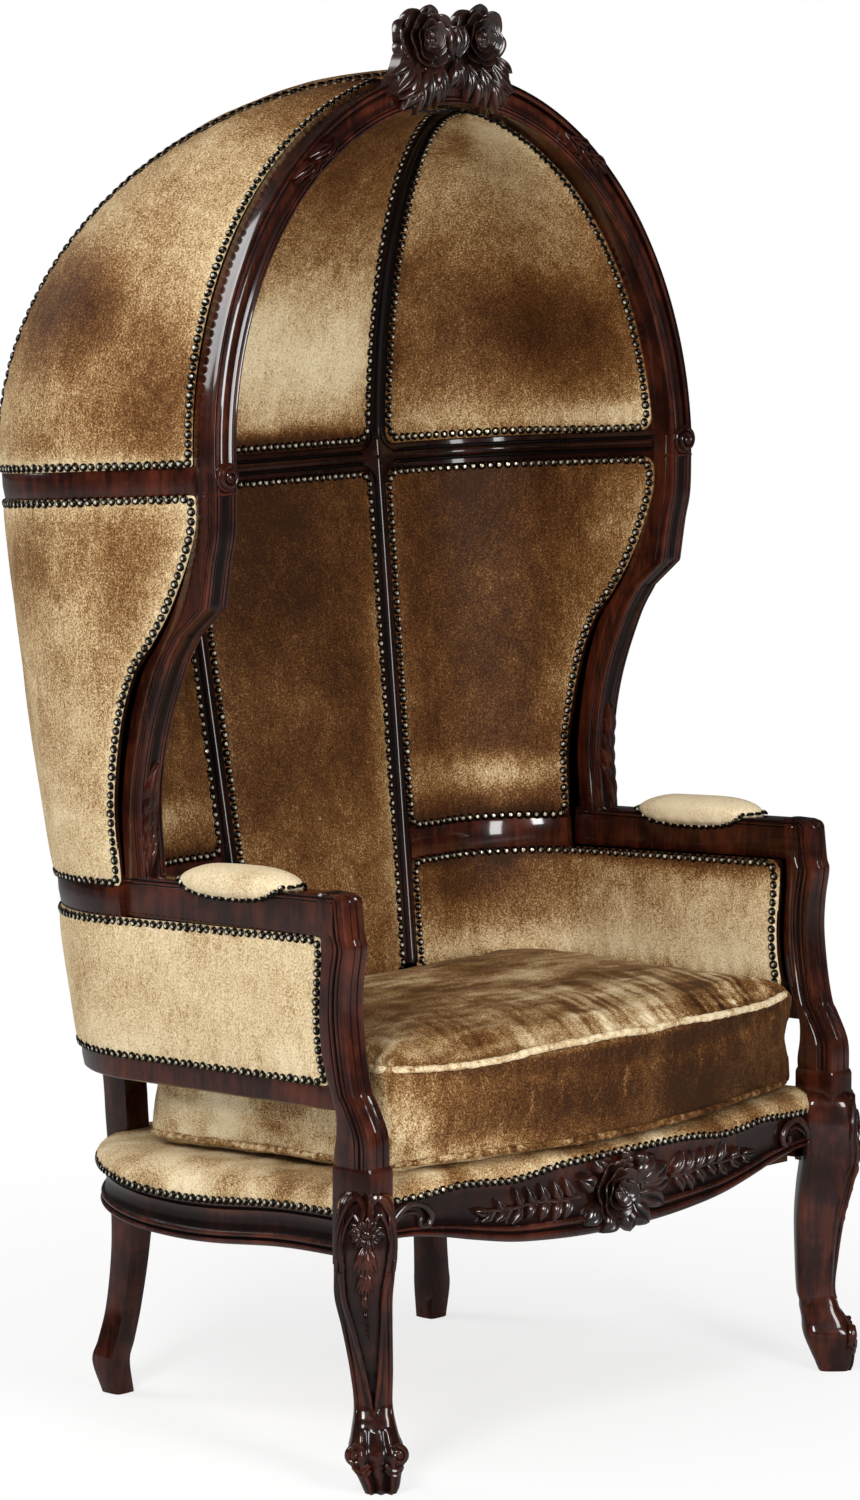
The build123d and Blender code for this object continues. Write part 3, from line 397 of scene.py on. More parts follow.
class Val:
    """A node's socket on which Python arithmetic adds Math nodes."""

    def __init__(self, tree, socket):
        self.tree, self.socket = tree, socket

    def _math(self, operation, *values):
        return add_node(self.tree, "ShaderNodeMath", {"operation": operation},
                        **{f"i{i}": v for i, v in enumerate(values)})

    def __add__(self, o): return self._math("ADD", self, o)
    def __radd__(self, o): return self._math("ADD", o, self)
    def __sub__(self, o): return self._math("SUBTRACT", self, o)
    def __rsub__(self, o): return self._math("SUBTRACT", o, self)
    def __mul__(self, o): return self._math("MULTIPLY", self, o)
    def __rmul__(self, o): return self._math("MULTIPLY", o, self)
    def __truediv__(self, o): return self._math("DIVIDE", self, o)
    def clip(self): return self._math("MINIMUM", self._math("MAXIMUM", self, 0.0), 1.0)


def add_node(tree, kind, settings=None, out=0, **sockets):
    """Any other node: its settings first, then values or links by socket name, or i and number."""
    node = tree.nodes.new(kind)
    for key, value in (settings or {}).items():
        if key == "stops":
            ramp = node.color_ramp
            while len(ramp.elements) < len(value):
                ramp.elements.new(.5)
            for element, (place, colour) in zip(ramp.elements, value):
                element.position, element.color = place, (*colour, 1)
        else:
            setattr(node, key, value)
    for key, value in sockets.items():
        numbered = key[0] == "i" and key[1:].isdigit()
        socket = node.inputs[int(key[1:]) if numbered else key.replace("_", " ")]
        if isinstance(value, Val):
            tree.links.new(value.socket, socket)
        else:
            socket.default_value = value
    return Val(tree, node.outputs[out]) if node.outputs else node


class Shade:
    """A Principled material."""

    def __init__(self, name, **constants):
        self.material = bpy.data.materials.new(name)
        self.material.use_nodes = True
        self.tree = self.material.node_tree
        self.bsdf = self.tree.nodes["Principled BSDF"]
        for key, value in constants.items():
            self.bsdf.inputs[key.replace("_", " ")].default_value = value

    def node(self, kind, settings=None, out=0, **sockets):
        return add_node(self.tree, kind, settings, out, **sockets)

    def place(self, scale=(1, 1, 1), rotation=(0, 0, 0)):
        coordinates = self.node("ShaderNodeTexCoord", out=3)
        return self.node("ShaderNodeMapping", Vector=coordinates, Scale=scale, Rotation=rotation)

    def noise(self, vector, scale, detail=4.0, rough=.55, distortion=0.0):
        return self.node("ShaderNodeTexNoise", Vector=vector, Scale=scale, Detail=detail,
                         Roughness=rough, Distortion=distortion)

    def ramp(self, value, *stops):
        return self.node("ShaderNodeValToRGB", {"stops": stops}, Fac=value)

    def attribute(self, name):
        return self.node("ShaderNodeAttribute", {"attribute_name": name}, out=2)

    def bump(self, height, strength, distance):
        return self.node("ShaderNodeBump", Height=height, Strength=strength, Distance=distance)

    def set(self, **values):
        for key, value in values.items():
            self.tree.links.new(value.socket, self.bsdf.inputs[key.replace("_", " ")])
        return self.material


def velvet_material():
    """Crushed velvet: a stored attribute with the painted sheen and painted shade of the pile, speckled by
    noise, picks a tone from dark to bright.
    """
    s = Shade("crushed_bronze_velvet", Roughness=.7, Sheen_Weight=.05, Sheen_Roughness=.4,
              Sheen_Tint=(.95, .72, .42, 1), Specular_IOR_Level=.12)
    at = s.place()
    clouds = s.noise(at, 8.0, 3.0, .55, .4)
    patches = s.noise(s.place((1, 1, .7)), 30.0, 4.0, .6, .8)
    strokes = s.noise(s.place((1, 1, .3), (.35, .3, .2)), 210.0, 3.0, .65, .6)
    grain = s.noise(at, 440.0, 3.0, .8)
    speck = s.noise(at, 1100.0, 2.0, .8)
    light = (s.attribute("nap") + (clouds - .5) * .4 + (patches - .5) * .36 + (strokes - .5) * .3
             + (grain - .5) * 1.55 + (speck - .5) * .6).clip()
    colour = s.ramp(
        light, (.04, (.030, .0092, .0018)), (.25, (.088, .0320, .0070)), (.42, (.155, .0680, .0180)),
        (.56, (.300, .1750, .0720)), (.70, (.485, .3550, .1900)), (1.0, (.720, .6000, .3980)))
    return s.set(Base_Color=colour, Roughness=.62 + (grain - .5) * .3,
                 Normal=s.bump(strokes * .5 + grain * .5, .35, .001))


def wood_material(name, dark, mid, warm, gloss=.3, coat=1.0, shine=.12, smear=.085):
    """French-polished wood, matt in its grooves and darker there by painted shade and some dark polish."""
    s = Shade(name, Coat_Roughness=smear, Specular_IOR_Level=shine)
    hollow = s.attribute("hollow")
    streak = s.noise(s.place((1, 1, .12)), 70.0, 6.0, .62, .5)
    cross = s.noise(s.place((.15, 1, 1)), 52.0, 5.0, .6, .4)
    cloud = s.noise(s.place(), 11.0, 3.0, .55)
    fine = s.noise(s.place((1, 1, .08)), 420.0, 3.0, .7)
    # darker in the grooves and a little lighter on ridges: painted shade and painted highlight, with some
    # dark polish in the grooves
    tone = (streak * .45 + cross * .25 + cloud * .6 + (fine - .5) * .2 - .14 - hollow * .45).clip()
    rough = (hollow * .3 + (cloud - .4) * .2 + (fine - .5) * .06 + gloss).clip()
    return s.set(Coat_Weight=(hollow * -1.1 + .92).clip() * coat,
                 Base_Color=s.ramp(tone, (.3, dark), (.5, mid), (.72, warm)), Roughness=rough,
                 Normal=s.bump(streak * .4 + fine * .2 + cloud * .5, .1, .0012))


def brass_material():
    """Dark old nail heads, bright on their crowns: a painted highlight, partly rubbed wear."""
    s = Shade("antique_brass", Specular_IOR_Level=.6)
    patch = s.noise(s.place(), 120.0, 3.0, .6)
    spot = s.noise(s.place(), 640.0, 2.0, .7)
    # a painted highlight on the crown of each head, partly rubbed wear; the crown is also less metallic, so
    # it shows bright under diffuse light
    tone = ((s.attribute("crown") - .90) * 5.0 + (patch - .5) * 1.0 + (spot - .5) * .5 + .45).clip()
    colour = s.ramp(tone, (.12, (.020, .017, .013)), (.45, (.11, .090, .058)), (.68, (.52, .46, .34)),
                    (.92, (.93, .89, .78)))
    return s.set(Base_Color=colour, Roughness=.24 + (spot - .5) * .2, Metallic=1.0 - tone * .6)


def weave_material():
    s = Shade("jute_webbing", Roughness=.9)
    threads = [s.node("ShaderNodeTexWave", {"wave_type": "BANDS", "bands_direction": way}, out=1,
                      Vector=s.place(), Scale=160.0, Distortion=1.0) * .5 for way in "XY"]
    both = (threads[0] + threads[1]).clip()
    return s.set(Base_Color=s.ramp(both, (0, (.16, .11, .06)), (1, (.46, .37, .24))),
                 Normal=s.bump(both, .6, .001))


velvet = velvet_material()
mahogany = wood_material("dark_mahogany", (.0045, .0011, .0008), (.0170, .0032, .0016),
                         (.078, .0150, .0055))
rib_wood = wood_material("rib_mahogany", (.0025, .0012, .0010), (.0065, .0020, .0014),
                         (.022, .0048, .0028), coat=.6)
carved_wood = wood_material("carved_mahogany", (.0040, .0018, .0014), (.0110, .0040, .0028),
                            (.045, .0120, .0065), gloss=.28, shine=.5, smear=.14)
plain_wood = wood_material("plain_hardwood", (.03, .013, .007), (.06, .028, .014),
                           (.11, .055, .028), gloss=.6, coat=0)
brass = brass_material()
webbing = weave_material()

# Velvet panels

nail_lines = []            # lines along which nails are driven, with the directions out of the cloth


def add_nails(points, normals):
    nail_lines.append((np.asarray(points, float), np.asarray(normals, float)))


def distinct(points, normals):
    """The same line without points that coincide with the one before."""
    keep = np.r_[True, np.linalg.norm(np.diff(points, axis=0), axis=1) > 1e-5]
    return points[keep], normals[keep]


def rounded(u, v, ru, rv):
    """Rounds the corners of the unit square by shares ru and rv."""
    u, v = u.copy(), v.copy()
    for su, sv in np.ndindex(2, 2):
        a = 1 - (1 - u if su else u) / ru
        b = 1 - (1 - v if sv else v) / rv
        inside = (a > 0) & (b > 0)
        nu = (1 - a * np.sqrt(np.clip(1 - b * b / 2, 0, 1))) * ru
        nv = (1 - b * np.sqrt(np.clip(1 - a * a / 2, 0, 1))) * rv
        u = np.where(inside, 1 - nu if su else nu, u)
        v = np.where(inside, 1 - nv if sv else nv, v)
    return u, v


def sheen_patches(u, v, base, *blobs):
    """The velvet's painted sheen and painted shade over a panel, from soft patches."""
    out = np.full(np.shape(u), base, float)
    for pu, pv, ru, rv, amount in blobs:
        out += amount * np.exp(-(((u - pu) / ru) ** 2 + ((v - pv) / rv) ** 2))
    return out


def panel(part, layer, suffix, kind, rear, front, bottom, top, w_span, t_span, size, seed, blobs,
          corner=.016, edges=(0, 0, 0, 0), open_foot=False, mirror=False):
    """One velvet panel on a wall, with its backing board and its nails. rear, front, bottom and top
    are surfaces and where to look for them; size is its width and height; blobs are the base tone and
    soft patches of the painted sheen and shade; edges are painted sheen (above zero) or painted shade
    (below) added at the bottom, front, top and rear."""
    w_grid, t_grid = np.linspace(*w_span, 160), np.linspace(*t_span, 160)
    front_t = crossing(kind, *front, w=w_grid)
    rear_t = crossing(kind, *rear, w=w_grid) if rear else -front_t
    bottom_w = crossing(kind, *bottom, t=t_grid)
    top_w = crossing(kind, *top, t=t_grid) if isinstance(top, tuple) else np.full_like(t_grid, top)
    width, height = size
    flip = MIRROR if mirror else 1

    def wall(u, v):
        """The wall's point and normal at shares of the panel's width and height."""
        w = bottom_w.mean() + (top_w.mean() - bottom_w.mean()) * v
        for _ in range(6):
            a, b = np.interp(w, w_grid, rear_t), np.interp(w, w_grid, front_t)
            t = a + (b - a) * u
            c, d = np.interp(t, t_grid, bottom_w), np.interp(t, t_grid, top_w)
            w = c + (d - c) * v
        return shell(kind, t, w), shell_normal(kind, t, w)

    def squares(nu, nv):
        return np.meshgrid(np.linspace(0, 1, nu + 1), np.linspace(0, 1, nv + 1), indexing="ij")

    nu, nv = int(width / .0042), int(height / .0042)
    u, v = squares(nu, nv)
    round_off = corner / width, corner / height
    base, normal = wall(*rounded(u, v, *round_off))
    du, dv = np.minimum(u, 1 - u) * width, np.minimum(v, 1 - v) * height
    d = 1 / (1 / (du + 1e-4) ** 3 + 1 / (dv + 1e-4) ** 3) ** (1 / 3)      # distance from the edge
    along = np.where(du < dv, v * height, u * width)
    pull = .0016 * np.cos(along / PULL_PITCH * 2 * math.pi + 2 * noise3(base, 9, seed)) \
        * np.exp(-d / .016) * (1 - np.exp(-d / .004))
    drift = (noise3(base * (1, 1, .45), 13, seed + 1) * .0016
             + noise3(base * (1, 1, .6), 34, seed + 2) * .0007) * (1 - np.exp(-d / .03))
    crown = np.clip(4 * u * (1 - u), 0, 1) ** .6 * np.clip(4 * v * (1 - v), 0, 1) ** .6
    lift = .0015 + .007 * (.6 * (1 - np.exp(-d / .014)) + .4 * crown) + pull + drift
    # painted sheen and painted shade over the panel, and along its edges
    nap = sheen_patches(u, v, *blobs) + noise3(base, 7, seed + 5) * .08
    blur = .016 * (1 + .5 * noise3(base, 24, seed + 6))
    for amount, away in zip(edges, (v * height, (1 - u) * width, (1 - v) * height, u * width)):
        nap += amount * np.exp(-(away / blur) ** 2)
    # the face, and a thin turned-in edge round it
    ids = rim_ids(nu + 1, nv + 1)
    rim = (base - normal * .004).reshape(-1, 3)[ids]
    start, count = nap.size, len(ids)
    faces = grid_faces(nu + 1, nv + 1) + [
        [ids[i], start + i, start + (i + 1) % count, ids[(i + 1) % count]] for i in range(count)]
    face = np.vstack([(base + normal * lift[..., None]).reshape(-1, 3), rim]) * flip
    name = f"velvet_{part}_{layer}{suffix}"
    mesh_piece(name, (face, faces), velvet, f"{part}_panel_{layer}{suffix}",
               nap=np.r_[nap.ravel(), nap.ravel()[ids]])
    # the backing board
    base, normal = wall(*squares(max(nu // 6, 2), max(nv // 6, 2)))
    verts, faces = sheet_shell(base - normal * .0022, base - normal * .009)
    mesh_piece(name + "_board", (verts * flip, faces), rib_wood, sharp=40)
    # nails along the edges
    line = np.linspace(0, 1, 140)
    sides = [(line, 0 * line), (0 * line + 1, line), (line[::-1], 0 * line + 1), (0 * line, line[::-1])]
    a, b = rounded(*np.hstack(sides[open_foot:]), *round_off)
    iu, iv = NAIL_INSET / width, NAIL_INSET / height
    points, normals = wall(iu + a * (1 - 2 * iu), iv + b * (1 - 2 * iv))
    points = points + normals * .0027
    add_nails(*distinct(points * flip, normals * flip))


def panels():
    clear, arch_gap = .0003, .0006
    rib_out, rib_in = .015 + clear, .014 + clear
    arch_back = arch_rear(arch_gap), .5, 1.05
    wing_back, post_back = (line_y(wing_rear, clear), .45, 1.15), (line_y(post_rear, clear), .5, 1.1)
    stile, lining_rib = (split_x(STILE_X + clear), .02, .9), (back_rib(rib_in), .02, .7)
    over_belt, under_belt = (belt(HALF_BELT), -.1, .2), (belt(-HALF_BELT), -.2, .1)
    over_arm, under_arm = (arm_line(ARM_BAND), -.6, -.3), (arm_line(0), -.7, -.3)
    over_rail = low_line(0), -.9, -.5
    lining_foot = (lambda p: p[..., 2] - LINING_FOOT), -.9, -.5
    meet = arch_meeting("out", outer_rib(rib_out), arch_gap) - .012
    meet_in = arch_meeting("in", dome_rib(rib_in), arch_gap) - .012
    # Each panel's row, after its seed, gives the painted sheen and shade of its cloth: a base tone and soft
    # patches (place, size and amount, lighter above zero, darker below), then the corner radius and, where
    # given, the painted tones along its edges. The panels below the rows use the same layout.
    sides = (
        ("hood", "outer", "out", (outer_rib(rib_out), .02, .999), arch_back, over_belt, meet,
         (-.03, meet), (.2, 1.0), (.42, .62), 11,
         (.54, (.5, 1.0, 1.3, .22, -.42), (.5, .66, .4, .09, .1), (.85, .48, .45, .11, .12),
          (.3, .31, .3, .12, -.36), (.2, .13, .3, .06, .06), (.9, .16, .3, .12, -.16)),
         .004, (.3, .1, 0, 0)),
        ("hood", "inner", "in", (dome_rib(rib_in), .02, .999), arch_back, over_belt, meet_in,
         (-.03, meet_in), (.2, 1.0), (.46, .55), 21,
         (.50, (.68, .24, .5, .13, -.36), (.12, .25, .25, .16, -.16), (.5, .66, .6, .14, .10),
          (.95, .04, .3, .04, .20), (.5, .03, .8, .04, .16), (.75, .88, .3, .10, .26),
          (.35, .80, .16, .05, -.14)),
         .016, (-.1, 0, -.15, -.1)),
        ("wing", "outer", "out", stile, wing_back, over_arm, under_belt,
         (-.53, .02), (.2, 1.0), (.42, .47), 31,
         (.68, (.4, .84, .22, .15, -.24), (.8, .86, .16, .16, -.24), (.3, .5, .12, .3, -.1),
          (.9, .55, .14, .3, -.12), (.5, .1, .7, .25, .14)),
         .004, (0, .15, .1, 0)),
        ("wing", "inner", "in", lining_rib, wing_back, over_arm, under_belt,
         (-.53, .02), (.2, 1.0), (.40, .47), 41,
         (.17, (.3, .85, .4, .2, -.14), (.93, .8, .13, .2, .26), (.6, .13, .6, .055, .38),
          (.92, .4, .12, .2, .2)),
         .016, (-.35, .2, -.05, .1)),
        ("arm", "outer", "arm_out", stile, post_back, over_rail, under_arm,
         (-.74, -.5), (.2, 1.05), (.52, .16), 51,
         (.80, (.32, .6, .16, .3, -.12), (.9, .5, .22, .6, -.07)), .008),
        ("arm", "inner", "arm_in", lining_rib, post_back, lining_foot, under_arm,
         (-.72, -.5), (.2, 1.05), (.56, .15), 61,
         (.72, (.12, .7, .28, .4, -.42), (.5, .85, .5, .2, -.12), (.45, .2, .6, .15, .12)),
         .012, (-.2, .1, -.5, 0), True))
    for mirror, side in enumerate(("right", "left")):
        for row in sides:
            part, layer, kind, *bounds, seed, blobs = row[:12]
            panel(part, layer, f"_{side}", kind, *bounds, seed + mirror, blobs, *row[12:],
                  mirror=bool(mirror))

    def between(rib_surface):
        """Two ribs, and over them the arch, as one boundary."""
        return (lambda p: np.maximum(rib_surface(p), -arch_back[0](p))), .01, .999
    panel("hood", "outer", "_back", "out", None, between(outer_rib(-rib_out)), over_belt, .985,
          (-.03, .985), (-.99, .99), (.75, .70), 71,
          (.5, (.3, .35, .3, .15, -.25), (.7, .55, .4, .15, .2), (.5, .95, 1, .2, -.25)),
          .004, (.2, 0, 0, 0))
    panel("hood", "inner", "_back", "in", None, between(dome_rib(-rib_in)), over_belt, .985,
          (-.03, .985), (-.99, .99), (.33, .62), 72,
          (.33, (.5, .20, 1.0, .17, .50), (.5, .85, .9, .3, -.1)), .016, (-.6, 0, 0, 0))
    panel("back", "outer", "", "out", None, (split_x(STILE_X - clear), .02, .9), over_rail, under_belt,
          (-.74, .02), (-.9, .9), (.67, .68), 73,
          (.66, (.3, .75, .25, .2, -.25), (.7, .4, .25, .25, -.15), (.5, .1, .7, .15, .12)),
          .004, (0, 0, .15, 0))
    panel("back", "inner", "", "in", None, (back_rib(-rib_in), .02, .7), lining_foot, under_belt,
          (-.72, .02), (-.9, .9), (.31, .66), 74,
          (.22, (.5, .95, .8, .2, -.16), (.5, .1, .8, .22, .17), (.95, .4, .08, .4, .15)),
          .016, (0, .15, -.05, .1), True)


panels()

# Turned, moulded and carved wood

def ring(front=(), outer=(), rear=(), inner=(), corner=.003):
    """A section round a rectangle. Each side lists its points as share, distance along and depth."""
    sides = (
        lambda s, a, d: (s, a, 0, d),
        lambda s, a, d: (1, -d, s, a),
        lambda s, a, d: (1 - s, -a, 1, -d),
        lambda s, a, d: (0, d, 1 - s, -a),
    )
    points = []
    for make, detail in zip(sides, (front, outer, rear, inner)):
        points += [make(*p) for p in [(0, corner, 0), *detail, (1, -corner, 0),
                                      (1, -corner * .29, corner * .29)]]
    return points


def reed(s, a, width, deep):
    """A round bead between two grooves."""
    h = width / 2
    return [(s, a - h - deep * .7, 0), (s, a - h, deep), (s, a - h * .7, deep * .3), (s, a, 0),
            (s, a + h * .7, deep * .3), (s, a + h, deep), (s, a + h + deep * .7, 0)]


def prism(a, b, c, section):
    """A closed bar through stations. a and b are the front corners, c the rear corner below a."""
    a, b, c = arrays(a, b, c)
    across, deep = b - a, c - a
    us, uo, vs, vo = np.array(section).T[:, None, :, None]
    return bar(a[:, None] + across[:, None] * us + deep[:, None] * vs
               + unit(across)[:, None] * uo + unit(deep)[:, None] * vo)


def moulding(low, high, normal, profile):
    """A closed strip between two lines. The profile gives the share of the way from low to high and
    the height along the normal."""
    low, high, normal = arrays(low, high, normal)
    share, lift = np.array(profile).T[:, None, :, None]
    return bar(low[:, None] + (high - low)[:, None] * share + normal[:, None] * lift)


def tube(points, radii, sides=10):
    """A round bar along points, with closed ends."""
    p = np.asarray(points, float)
    r = np.broadcast_to(np.asarray(radii, float), (len(p),))
    tangent = unit(np.gradient(p, axis=0))
    side = np.cross(tangent[0], UP)
    if np.linalg.norm(side) < 1e-3:
        side = np.cross(tangent[0], (1.0, 0, 0))
    u = []
    for t in tangent:
        side = unit(side - t * side.dot(t))
        u.append(side)
    u = np.array(u)
    v = np.cross(tangent, u)
    a = around(sides)[None, :, None]
    return bar(p[:, None] + r[:, None, None] * (u[:, None] * np.cos(a) + v[:, None] * np.sin(a)))


def leaf(base, tip, normal, width, thick=.004, bend=0.0, arch=0.0, groove=.5, curl=0.0):
    """A pointed leaf with a groove along its middle."""
    base, tip, normal = *arrays(base, tip), unit(normal)
    run = tip - base
    side = unit(np.cross(run, normal))
    s, j = np.linspace(0, 1, 15)[:, None], np.linspace(-1, 1, 9)[None, :]
    w = width / 2 * np.sin(math.pi * np.clip(s, .03, .985) ** .75) ** .8
    line = base + run * s + (side * bend + normal * arch) * np.sin(math.pi * s) + normal * curl * s ** 4
    mid = line[:, None, :] + side * (w * j)[..., None]
    body = np.sqrt(np.clip(1 - j ** 2, 0, 1)) ** .7 * (.35 + .65 * np.sin(math.pi * np.clip(s, .05, .97)))
    cut = groove * np.exp(-(j / .2) ** 2) * np.sin(math.pi * np.clip(s, .05, .9))
    return sheet_shell(mid + normal * (thick * (body - cut) + .0006)[..., None],
                       mid - normal * (thick * .5 + .001))


def petal_ring(centre, right, up, out, r0, r1, low, high, lobes, twist, thick=.003, spiral=0.0):
    """A closed bowl with a scalloped, rolled rim: one ring of carved petals."""
    t = around(112)
    lobe = np.abs(np.cos(lobes / 2 * (t - twist))) ** .42
    rim = r1 * (.80 + .20 * lobe) * (1 + .05 * np.sin(2 * t + twist * 3))
    share = np.concatenate([np.linspace(0, 1, 6), [1.04, 1.05, 1.02], np.linspace(.97, 0, 15)])
    drop = np.concatenate([np.full(6, thick), [thick * .8, thick * .45, thick * .1], np.zeros(15)])
    rings = []
    for w, d in zip(share, drop):
        r = r0 + (rim - r0) * w
        h = low + (high - low) * min(w, 1) ** 1.7 - (1 - lobe) * .0042 * w ** 2 \
            + .0016 * np.sin(lobes * (t - twist)) * w
        h = h + spiral * np.sin(t - r / r1 * 9.5) * (1 - w * .3) * (d == 0) - d
        rings.append(centre + turn(t, right, up) * r[:, None] + out * h[:, None])
    return bar(rings)


def rose(parts, centre, right, up, out, radius, depth, twist):
    """A carved rose: open petals, tighter rings inside them and a spiral bud."""
    for r0, r1, low, high, lobes, start, thick, spiral in (
            (.30, 1.0, .02, .60, 7, .2, .24, 0), (.28, .78, .22, .82, 6, .8, .17, 0),
            (.20, .57, .42, .95, 5, 1.5, .15, 0), (.12, .39, .55, 1.02, 4, 2.4, .13, 0),
            (.02, .25, .98, .80, 3, .6, .30, .05)):
        parts.add(*petal_ring(centre, right, up, out, radius * r0, radius * r1, depth * low,
                              depth * high, lobes, start + twist, depth * thick, depth * spiral))


def button(centre, right, up, out, count, *rings):
    """A round boss through rings of a radius and a height each."""
    return bar([centre + turn(around(count), right, up) * r + out * h for r, h in rings])


def scroll(parts, centre, right, up, out, radius, turns, thick=None, hand=1):
    """A volute: a spiral bead round a button, on a disc."""
    centre, right, up, out = arrays(centre, right, up, out)
    thick = thick or radius * .2
    t = np.linspace(0, 1, 60)
    angle = math.pi / 2 + hand * t * turns * 2 * math.pi
    path = centre + turn(angle, right, up) * ((radius - thick) * (1 - t * .78))[:, None] \
        + out * (thick * .5 + t * thick * .9)[:, None]
    parts.add(*tube(path, thick * (1 - .35 * t), 9))
    parts.add(*button(centre, right, up, out, 28, (radius * .98, -thick * 1.4), (radius, -thick * .3),
                      (radius * .93, thick * .25), (radius * .3, thick * .35),
                      (radius * .26, thick * 1.3), (radius * .14, thick * 1.8)))


# Sections of the rails, posts and arch
flat_bar = ring([(.5, 0, -.0004)])
post_section = ring(
    reed(.5, 0, .011, .0022),
    reed(0, .0125, .0058, .0022) + reed(0, .0205, .0058, .0022), [],
    reed(1, -.0205, .0058, .0022) + reed(1, -.0125, .0058, .0022), .0065)
wing_section = ring(
    reed(0, .0075, .005, .002) + [(.36, 0, .0028), (.5, 0, .0034), (.64, 0, .0028)]
    + reed(1, -.0075, .005, .002),
    reed(0, .0085, .004, .0014), [], reed(1, -.0085, .004, .0014), .0028)
arch_section = ring(
    reed(0, .0065, .004, .0018) + [(.34, 0, .0016), (.5, 0, .0008), (.66, 0, .0022),
                                   (1, -.0105, .0046)] + reed(1, -.0062, .0062, .0024),
    [(0, .009, .0012)], [], [(1, -.009, .0012)], .0024)
rail_section = ring([], reed(0, .006, .0042, .0015), [], reed(1, -.006, .0042, .0015), .004)
plain_band = [(0, -.013), (0, 0), (.06, .0012), (.5, .0022), (.94, .0012), (1, 0), (1, -.013)]
bead_band = [(0, -.013), (0, .0005), (.05, .0018), (.2, .0022), (.25, .0002), (.30, .0004),
             (.36, .0042), (.43, .0062), (.5, .0068), (.57, .0062), (.64, .0042), (.70, .0004),
             (.75, .0002), (.8, .0022), (.95, .0018), (1, .0005), (1, -.013)]
low_band = [(0, -.028), (0, -.002), (.08, .0004), (.5, .0012), (.92, .0004), (1, -.002), (1, -.028)]


def upright(x0, x1, front, rear, z, section, inset=0):
    """A post in level sections between a front and a rear line. inset eases its top."""
    ease = inset * .35
    return prism(columns(x0 + ease, front + inset, z), columns(x1 - ease, front + inset, z),
                 columns(x0 + ease, rear, z), section)


def arm_top(y):
    return ARM_Z - ARM_SLOPE * (y - RAIL_Y)


def posts_and_arch():
    z = np.linspace(.672, 1.1605, 150)
    front = y_at(np.vstack([smooth_line(wing_front[:5], 60), smooth_line(wing_front[5:], 40)]), z)
    parts = Parts(upright(FRAME_X - FRAME_W, FRAME_X, front, y_at(wing_rear, z), z, wing_section))
    # carved leaves in the channel at the foot of each wing
    for k, z0 in enumerate((.694, .713, .732, .752, .772)):
        y0, y1 = np.interp((z0, z0 + .045), z, front)
        parts.add(*leaf((.417 - .002 * k, y0 + .0015, z0 - .014), (.397 + .001 * k, y1 + .0005, z0 + .040),
                        (0, -1.0, .05), .017, .0052, bend=.005, arch=.0025, groove=.35))
    parts.pair("carved_wing_post", mahogany, "wing_post")

    a = np.linspace(0, math.pi / 2, 110)
    origin, right = np.array([0, ARCH_Y, ARCH_FOOT]), np.array([1, 0, 0])

    def on_arch(angle, rx, rz):
        return origin + np.multiply.outer(rx * np.cos(angle), right) \
            + np.multiply.outer(rz * np.sin(angle), ARCH_UP)
    inner = on_arch(a, .387, .420)
    parts = Parts(prism(inner, on_arch(a, .425, .460), inner - ARCH_OUT * FRAME_DEPTH, arch_section))
    # leaf sprigs half way up the arch, hanging down it
    for share, side, length in ((.668, -.9, .036), (.662, .2, .044), (.652, 1.0, .040),
                                (.618, -.8, .040), (.610, .3, .050), (.600, 1.0, .042)):
        angle = share * math.pi / 2
        along = unit(right * -.406 * math.sin(angle) + ARCH_UP * .44 * math.cos(angle))
        across = unit(right * .44 * math.cos(angle) + ARCH_UP * .406 * math.sin(angle))
        mid = on_arch(angle, .406, .440) - across * side * .003
        parts.add(*leaf(mid + ARCH_OUT * .0005, mid - along * length + across * side * .0115
                        + ARCH_OUT * .001, ARCH_OUT, .0110, .0075, bend=-side * .005, arch=.0035, groove=.6))
    parts.pair("moulded_arch", mahogany, "arch")

    # volutes where the arch stands on the wings
    parts = Parts()
    scroll(parts, (.406, ARCH_Y - .0035, 1.1555), (1, 0, 0), UP, (0, -1, 0), .0175, 1.7, hand=-1)
    low = columns(FRAME_X - FRAME_W - .0004, ARCH_Y + .002 - np.array([0, .0025, .0025, 0]),
                  [1.1335, 1.1345, 1.137, 1.1385])
    parts.add(*prism(low, low + (FRAME_W + .0008, 0, 0), low + (0, .02, 0), flat_bar))
    parts.add(*parts.shape(-1))
    mesh_piece("volutes", parts.shape(), mahogany, "scroll_rosettes", 40)

    z = np.linspace(.372, .6905, 130)
    inset = .010 * (1 - np.sqrt(np.clip(1 - np.clip((z - .6805) / .010, 0, 1) ** 2, 0, 1)))
    Parts(upright(.399, .437, y_at(smooth_line(post_front, 120), z), y_at(post_rear, z), z, post_section,
                  inset)).pair("reeded_arm_post", mahogany, "arm_post")

    y = np.linspace(-.278, ARM_END_Y, 60)
    draw_in = .012 * (y + .271) / .353
    inner = columns(.399 - draw_in, y, arm_top(y))
    Parts(prism(inner, columns(.437 - draw_in, y, arm_top(y)), inner - (0, 0, ARM_DEPTH),
                rail_section)).pair("arm_rail_bar", mahogany, "arm_rail")


def band(name, kind, low, high, t0, t1, reach, profile, node, material, sign=1, count=90):
    """A rail that runs round a wall between two surfaces."""
    t = np.linspace(t0, t1, count)
    lo, hi = (crossing(kind, f, *reach, t=t) for f in (low, high))
    verts, faces = moulding(shell(kind, t, lo), shell(kind, t, hi), shell_normal(kind, t, (lo + hi) / 2),
                            profile)
    mesh_piece(name, (verts * (sign, 1, 1), faces), material, node, 32)


def rib_bar(name, kind, surface, half, w0, w1, reach, profile, node):
    """A rib that runs up a wall, half its width to each side of a surface."""
    w = np.linspace(w0, w1, 90)
    lo, hi = (crossing(kind, surface(shift), *reach, w=w) for shift in (-half, half))
    Parts(moulding(shell(kind, lo, w), shell(kind, hi, w), shell_normal(kind, (lo + hi) / 2, w),
                   profile)).pair(name, rib_wood, node)


